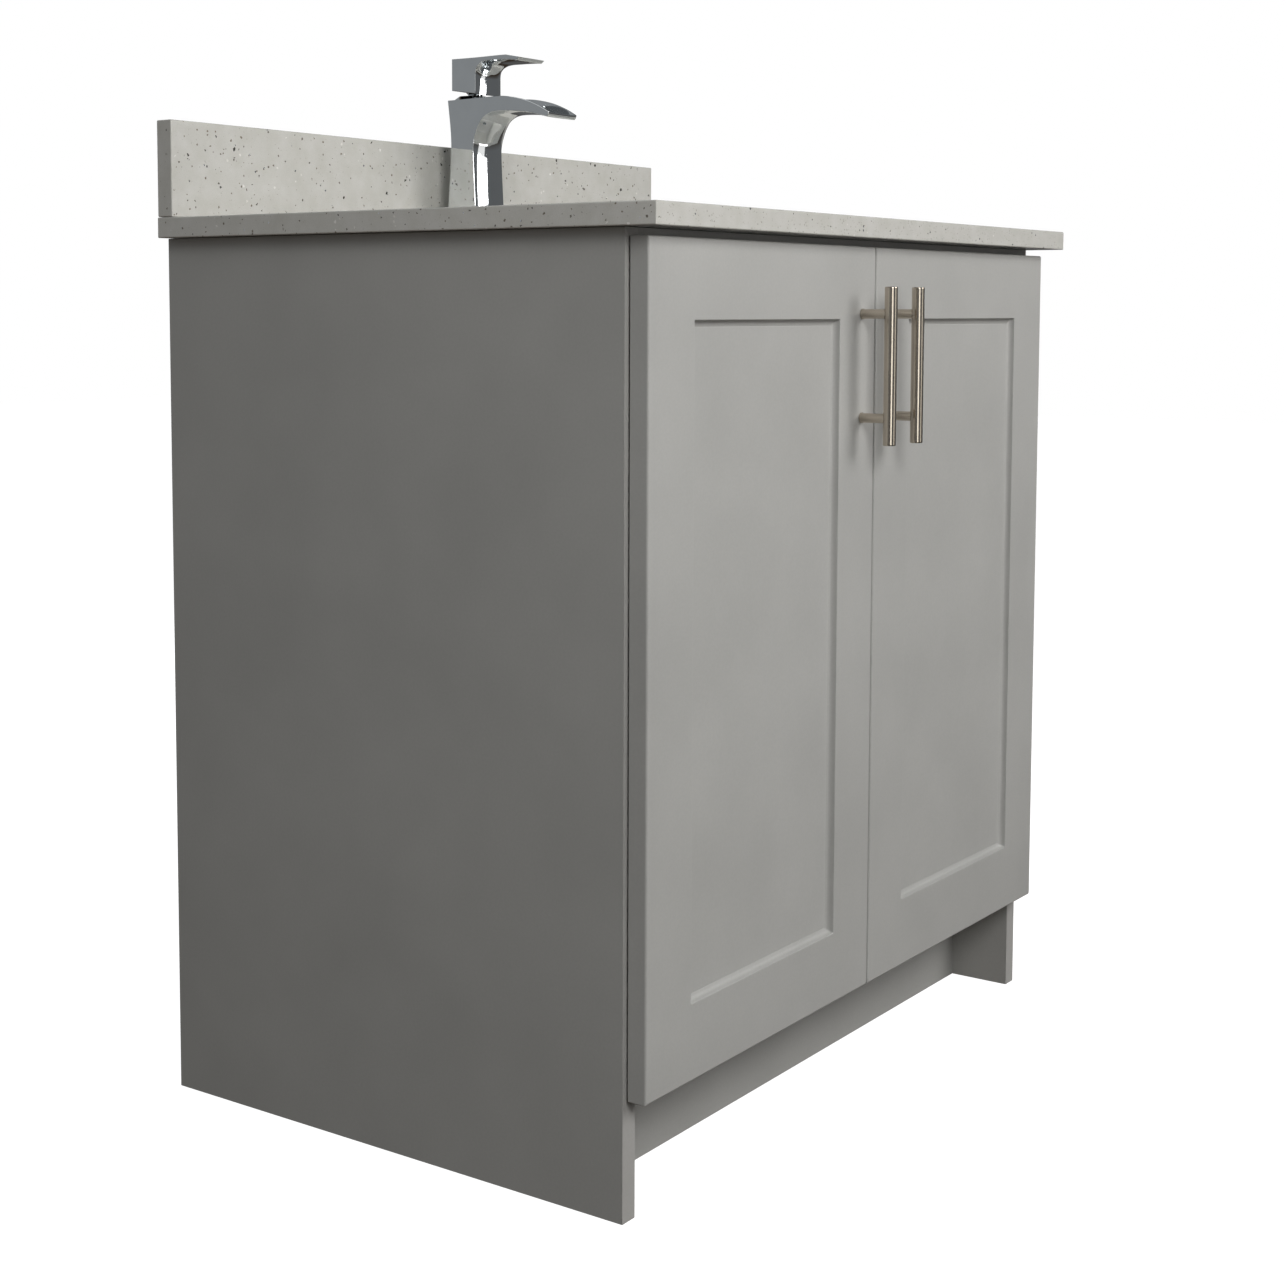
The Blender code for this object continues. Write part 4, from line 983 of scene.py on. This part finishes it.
def body_runs(x):
    top = BODY_TOP if abs(x) > BODY_HALF_WIDTH - SPOUT_WALL else BODY_TROUGH
    base = ((19.2, 0), (-19.2, 0))
    base_middle = ((24.4, 0), (-19.2, 0))
    return (
        (BODY_BACK, BODY_BACK, 22, 2, 2),
        (top, top, 44, 2, 5),
        (*BODY_TIP, 5, 5, 5),
        (*BODY_UNDER, 46, 5, 2),
        (*BODY_FRONT, 18, 2, 2),
        (base, base_middle, 8, 2, 2),
    )


def handle_runs(x):
    base = ((17.3, 140.6), (-14.5, 145.2))
    base_middle = ((21.7, 140.0), (-14.5, 145.2))
    return (
        (HANDLE_BACK, HANDLE_BACK, 6, 2, 2),
        (HANDLE_TOP, HANDLE_TOP, 20, 2, 2),
        (HANDLE_FACET, HANDLE_FACET, 6, 2, 5),
        (*HANDLE_TIP, 5, 5, 5),
        (*HANDLE_UNDER, 20, 5, 5),
        (*HANDLE_CROOK, 16, 5, 2.5),
        (*HANDLE_FRONT, 8, 2.5, 2.5),
        (base, base_middle, 6, 2.5, 2.5),
    )


# (how much wider than the body's opening, height) up the neck
NECK = ((0, 134.8), (0, 135.4), (-0.7, 136.2), (-3.9, 139.2), (-4.6, 139.8), (-5.4, 140.0))


def make_faucet_body():
    wall = BODY_HALF_WIDTH - SPOUT_WALL
    stations = [BODY_HALF_WIDTH - BODY_ROUND, BODY_HALF_WIDTH - 1.6, wall + 0.01, wall - 0.35]
    stations += [wall * i / 11 for i in range(10, -1, -1)]
    body = side_loft("faucet_column", BODY_HALF_WIDTH, body_runs, stations, BODY_ROUND)
    stands_for(body, "cabinet", "chrome", "faucet_body")
    rings = []
    for grow, height in NECK:
        outline = rounded_rectangle(19 + grow, 14.4 + grow * 0.8, 2.0, 5)
        rings.append([faucet_point(x, y, height) for x, y in outline])
    bm = bmesh.new()
    bridge(bm, rings)
    stands_for(piece("faucet_neck", bm, CHROME), "cabinet", "chrome")


def make_faucet_handle():
    flat = HANDLE_HALF_WIDTH - HANDLE_ROUND
    stations = [flat * i / 12 for i in range(12, -1, -1)]
    handle = side_loft("faucet_lever", HANDLE_HALF_WIDTH, handle_runs, stations, HANDLE_ROUND)
    ball = FAUCET_BASE + 0.151
    low = Vector((-0.0183, FAUCET_Y - 0.0128, FAUCET_BASE + 0.135))
    hollow = board("hollow", low, (0.0183, FAUCET_Y + 0.0123, ball + 0.0126), CHROME, 0.002, 3)
    cut(handle, hollow)
    stands_for(handle, "faucet_handle", "chrome", "faucet_handle")

    profile = [(0, ball + 0.0120)]
    profile += [(r, ball + h) for r, h in arc((0, 0), 0.0120, 84, -48, 22)]
    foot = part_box("faucet_stem")[0][2]
    profile += [(0.0074, foot + 0.0022), (0.0077, foot + 0.0018), (0.0077, foot + 0.0003)]
    profile += [(0.0074, foot), (0, foot)]
    stands_for(turned("faucet_ball", profile, (0, FAUCET_Y, 0), CHROME), "faucet_stem", "chrome", "faucet_stem")


def make_faucet_fixing():
    middle = (0, FAUCET_Y, 0)
    low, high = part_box("faucet_shank")
    bottom, top, radius = low[2], high[2], high[0]
    profile = [(0, top), (radius - 0.0008, top)]
    profile += thread(radius, bottom + 0.0008, top - 0.0008, 0.0015, 0.0007)[::-1]
    profile += [(radius - 0.0012, bottom), (0, bottom)]
    stands_for(turned("faucet_stud", profile, middle, BRASS), "cabinet", "brass", "faucet_shank")

    low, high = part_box("faucet_washer")
    inner, outer, ease = 0.0123, high[0], 0.0005
    profile = [(inner, low[2] + ease), (inner + ease, low[2]), (outer - ease, low[2]), (outer, low[2] + ease)]
    profile += [(outer, high[2] - ease), (outer - ease, high[2]), (inner + ease, high[2]), (inner, high[2] - ease)]
    stands_for(turned("faucet_disc", profile, middle, STEEL), "cabinet", "zinc_steel", "faucet_washer")

    low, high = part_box("faucet_nut")
    bm = bmesh.new()
    hexagon_into(bm, 0.0205, low[2], high[2], middle, 0.0123)
    stands_for(piece("faucet_backnut", bm, BRASS), "cabinet", "brass", "faucet_nut")


# Corner braces

BRACE_NICK = 0.004


def make_brace(end, side):
    """A moulded gusset: a triangular plate with a rim below it and a screw boss."""
    node = f"corner_brace_{end}_{side}"
    low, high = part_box(node)
    leg = high[0] - low[0]
    corner = Vector((low[0] if side == "left" else high[0], low[1] if end == "front" else high[1], 0))
    along_x, along_y = (1 if side == "left" else -1), (1 if end == "front" else -1)
    inner = leg * (1 - math.sqrt(0.5))

    def ring(inset, z):
        shrink = 1 - inset / inner
        end_of_leg = leg - BRACE_NICK
        flat = [(BRACE_NICK, 0), (end_of_leg, 0), (leg, 0.0006), (0.0006, leg), (0, end_of_leg), (0, BRACE_NICK)]
        points = [(inner + (a - inner) * shrink, inner + (b - inner) * shrink) for a, b in flat]
        return [corner + Vector((along_x * a, along_y * b, z)) for a, b in points]

    plate = high[2] - 0.003
    rings = [ring(0.0004, high[2]), ring(0, high[2] - 0.0004)]
    rings += [ring(0, low[2] + 0.0004), ring(0.0004, low[2])]
    rings += [ring(0.0021, low[2]), ring(0.0025, low[2] + 0.0004), ring(0.0028, plate)]
    bm = bmesh.new()
    bridge(bm, rings)
    place = corner + Vector((along_x * inner, along_y * inner, 0))
    boss = [(0, plate + 0.0005), (0.0062, plate + 0.0005), (0.0058, low[2] + 0.0005), (0.0053, low[2])]
    boss += [(0.0026, low[2]), (0.0022, low[2] + 0.0004), (0.0021, plate - 0.002), (0, plate - 0.002)]
    turn_into(bm, boss, place, "Z", 32)
    stands_for(piece(f"gusset_{end}_{side}", bm, BLACK_PLASTIC), "cabinet", "braces", node)


# Stage and lights

FLOOR_HALF = 12
FLOOR_SHADE = (0.33, 0.35)
FLOOR_GLOW = 0.97
# Name, place, what it faces, width, height, power and colour
LIGHTS = (
    ("left_box", (-1.42, -2.05, 1.95), (0.0, -0.2, 0.65), 1.0, 1.0, 33, (1.0, 0.992, 0.985)),
    ("right_box", (1.10, -2.45, 1.80), (0.0, -0.2, 0.65), 1.3, 1.3, 45, (1.0, 0.985, 0.98)),
    ("left_strip", (-1.45, -2.30, 0.85), (0.0, -0.2, 0.70), 0.90, 1.1, 6.0, (1.0, 0.99, 0.97)),
    ("right_strip", (0.95, -2.60, 0.80), (0.0, -0.2, 0.70), 0.90, 1.1, 2.6, (1.0, 0.98, 0.96)),
    ("overhead", (0.2, 0.3, 3.2), (0.0, 0.0, 0.0), 2.0, 1.6, 8, (1.0, 1.0, 1.0)),
    ("back_box", (0.9, 2.7, 1.2), (0.0, 0.2, 0.50), 1.6, 1.4, 32, (1.0, 1.0, 1.0)),
)
UNMIRRORED = "back_box"  # seen in the chrome, this light would hide the faucet against the white room
# A direction, then (place, shade): 0 is straight away from the direction and 1 straight along it
ROOM_HEIGHT = ((0, 0, 1), (0.36, (0.086, 0.064, 0.047)), (0.50, (0.262, 0.272, 0.280)))
ROOM_SIDE = ((-0.55, 0.83, 0), (0.56, (0.43, 0.43, 0.43)), (0.72, (0.97, 0.97, 0.97)))


def make_stage():
    bm = bmesh.new()
    bmesh.ops.create_grid(bm, x_segments=1, y_segments=1, size=FLOOR_HALF)
    g = Graph("floor", Roughness=0.9, Specular_IOR_Level=0.1, Emission_Strength=FLOOR_GLOW)
    shade = g.ramp(g.noise(0.8, 2), (0.3, FLOOR_SHADE[0]), (0.7, FLOOR_SHADE[1]))
    g.feed("Base Color", shade)
    g.shader.inputs["Emission Color"].default_value = (1, 1, 1, 1)
    floor = piece("floor", bm, g.material)
    floor.visible_diffuse = False
    floor.visible_glossy = False


def make_lights():
    for name, place, target, width, height, power, tint in LIGHTS:
        data = bpy.data.lights.new(name, "AREA")
        data.shape = "RECTANGLE"
        data.size, data.size_y = width, height
        data.energy = power
        data.color = tint
        lamp = bpy.data.objects.new(name, data)
        facing = (Vector(target) - Vector(place)).to_track_quat("-Z", "Y")
        lamp.matrix_world = Matrix.Translation(place) @ facing.to_matrix().to_4x4()
        lamp.visible_glossy = name != UNMIRRORED
        bpy.context.collection.objects.link(lamp)


def make_world():
    """Plain white to the camera. Its light is a soft room: pale on the left and behind, dark in front and below."""
    world = bpy.data.worlds.new("studio")
    bpy.context.scene.world = world
    world.use_nodes = True
    tree = world.node_tree
    background = tree.nodes["Background"]
    direction = tree.nodes.new("ShaderNodeTexCoord").outputs["Generated"]

    def ramp_along(axis, *stops):
        dot = tree.nodes.new("ShaderNodeVectorMath")
        dot.operation = "DOT_PRODUCT"
        dot.inputs[1].default_value = axis
        tree.links.new(direction, dot.inputs[0])
        lift = tree.nodes.new("ShaderNodeMapRange")
        lift.inputs["From Min"].default_value = -1.0
        tree.links.new(dot.outputs["Value"], lift.inputs["Value"])
        ramp = tree.nodes.new("ShaderNodeValToRGB")
        tree.links.new(lift.outputs[0], ramp.inputs[0])
        for element, (place, shade) in zip(ramp.color_ramp.elements, stops):
            element.position, element.color = place, (*shade, 1)
        return ramp.outputs[0]

    def mixed(blend, amount, first, second):
        mix = tree.nodes.new("ShaderNodeMix")
        mix.data_type = "RGBA"
        mix.blend_type = blend
        for socket, value in ((0, amount), (6, first), (7, second)):
            if isinstance(value, bpy.types.NodeSocket):
                tree.links.new(value, mix.inputs[socket])
            else:
                mix.inputs[socket].default_value = value
        return mix.outputs[2]

    room = ramp_along(*ROOM_HEIGHT)
    room = mixed("MULTIPLY", 1.0, room, ramp_along(*ROOM_SIDE))
    seen = tree.nodes.new("ShaderNodeLightPath").outputs["Is Camera Ray"]
    tree.links.new(mixed("MIX", seen, room, (1, 1, 1, 1)), background.inputs["Color"])


make_camera()
make_stage()
make_world()
make_lights()
make_carcass()
make_stone()
make_basin()
make_drain()
for side, sign in SIDES.items():
    make_door(side, sign)
    make_pull(side)
    for level in LEVELS:
        make_hinge(side, sign, level)
    for end in ("front", "back"):
        make_brace(end, side)
make_faucet_body()
make_faucet_handle()
make_faucet_fixing()

bpy.context.scene.view_settings.view_transform = "Standard"
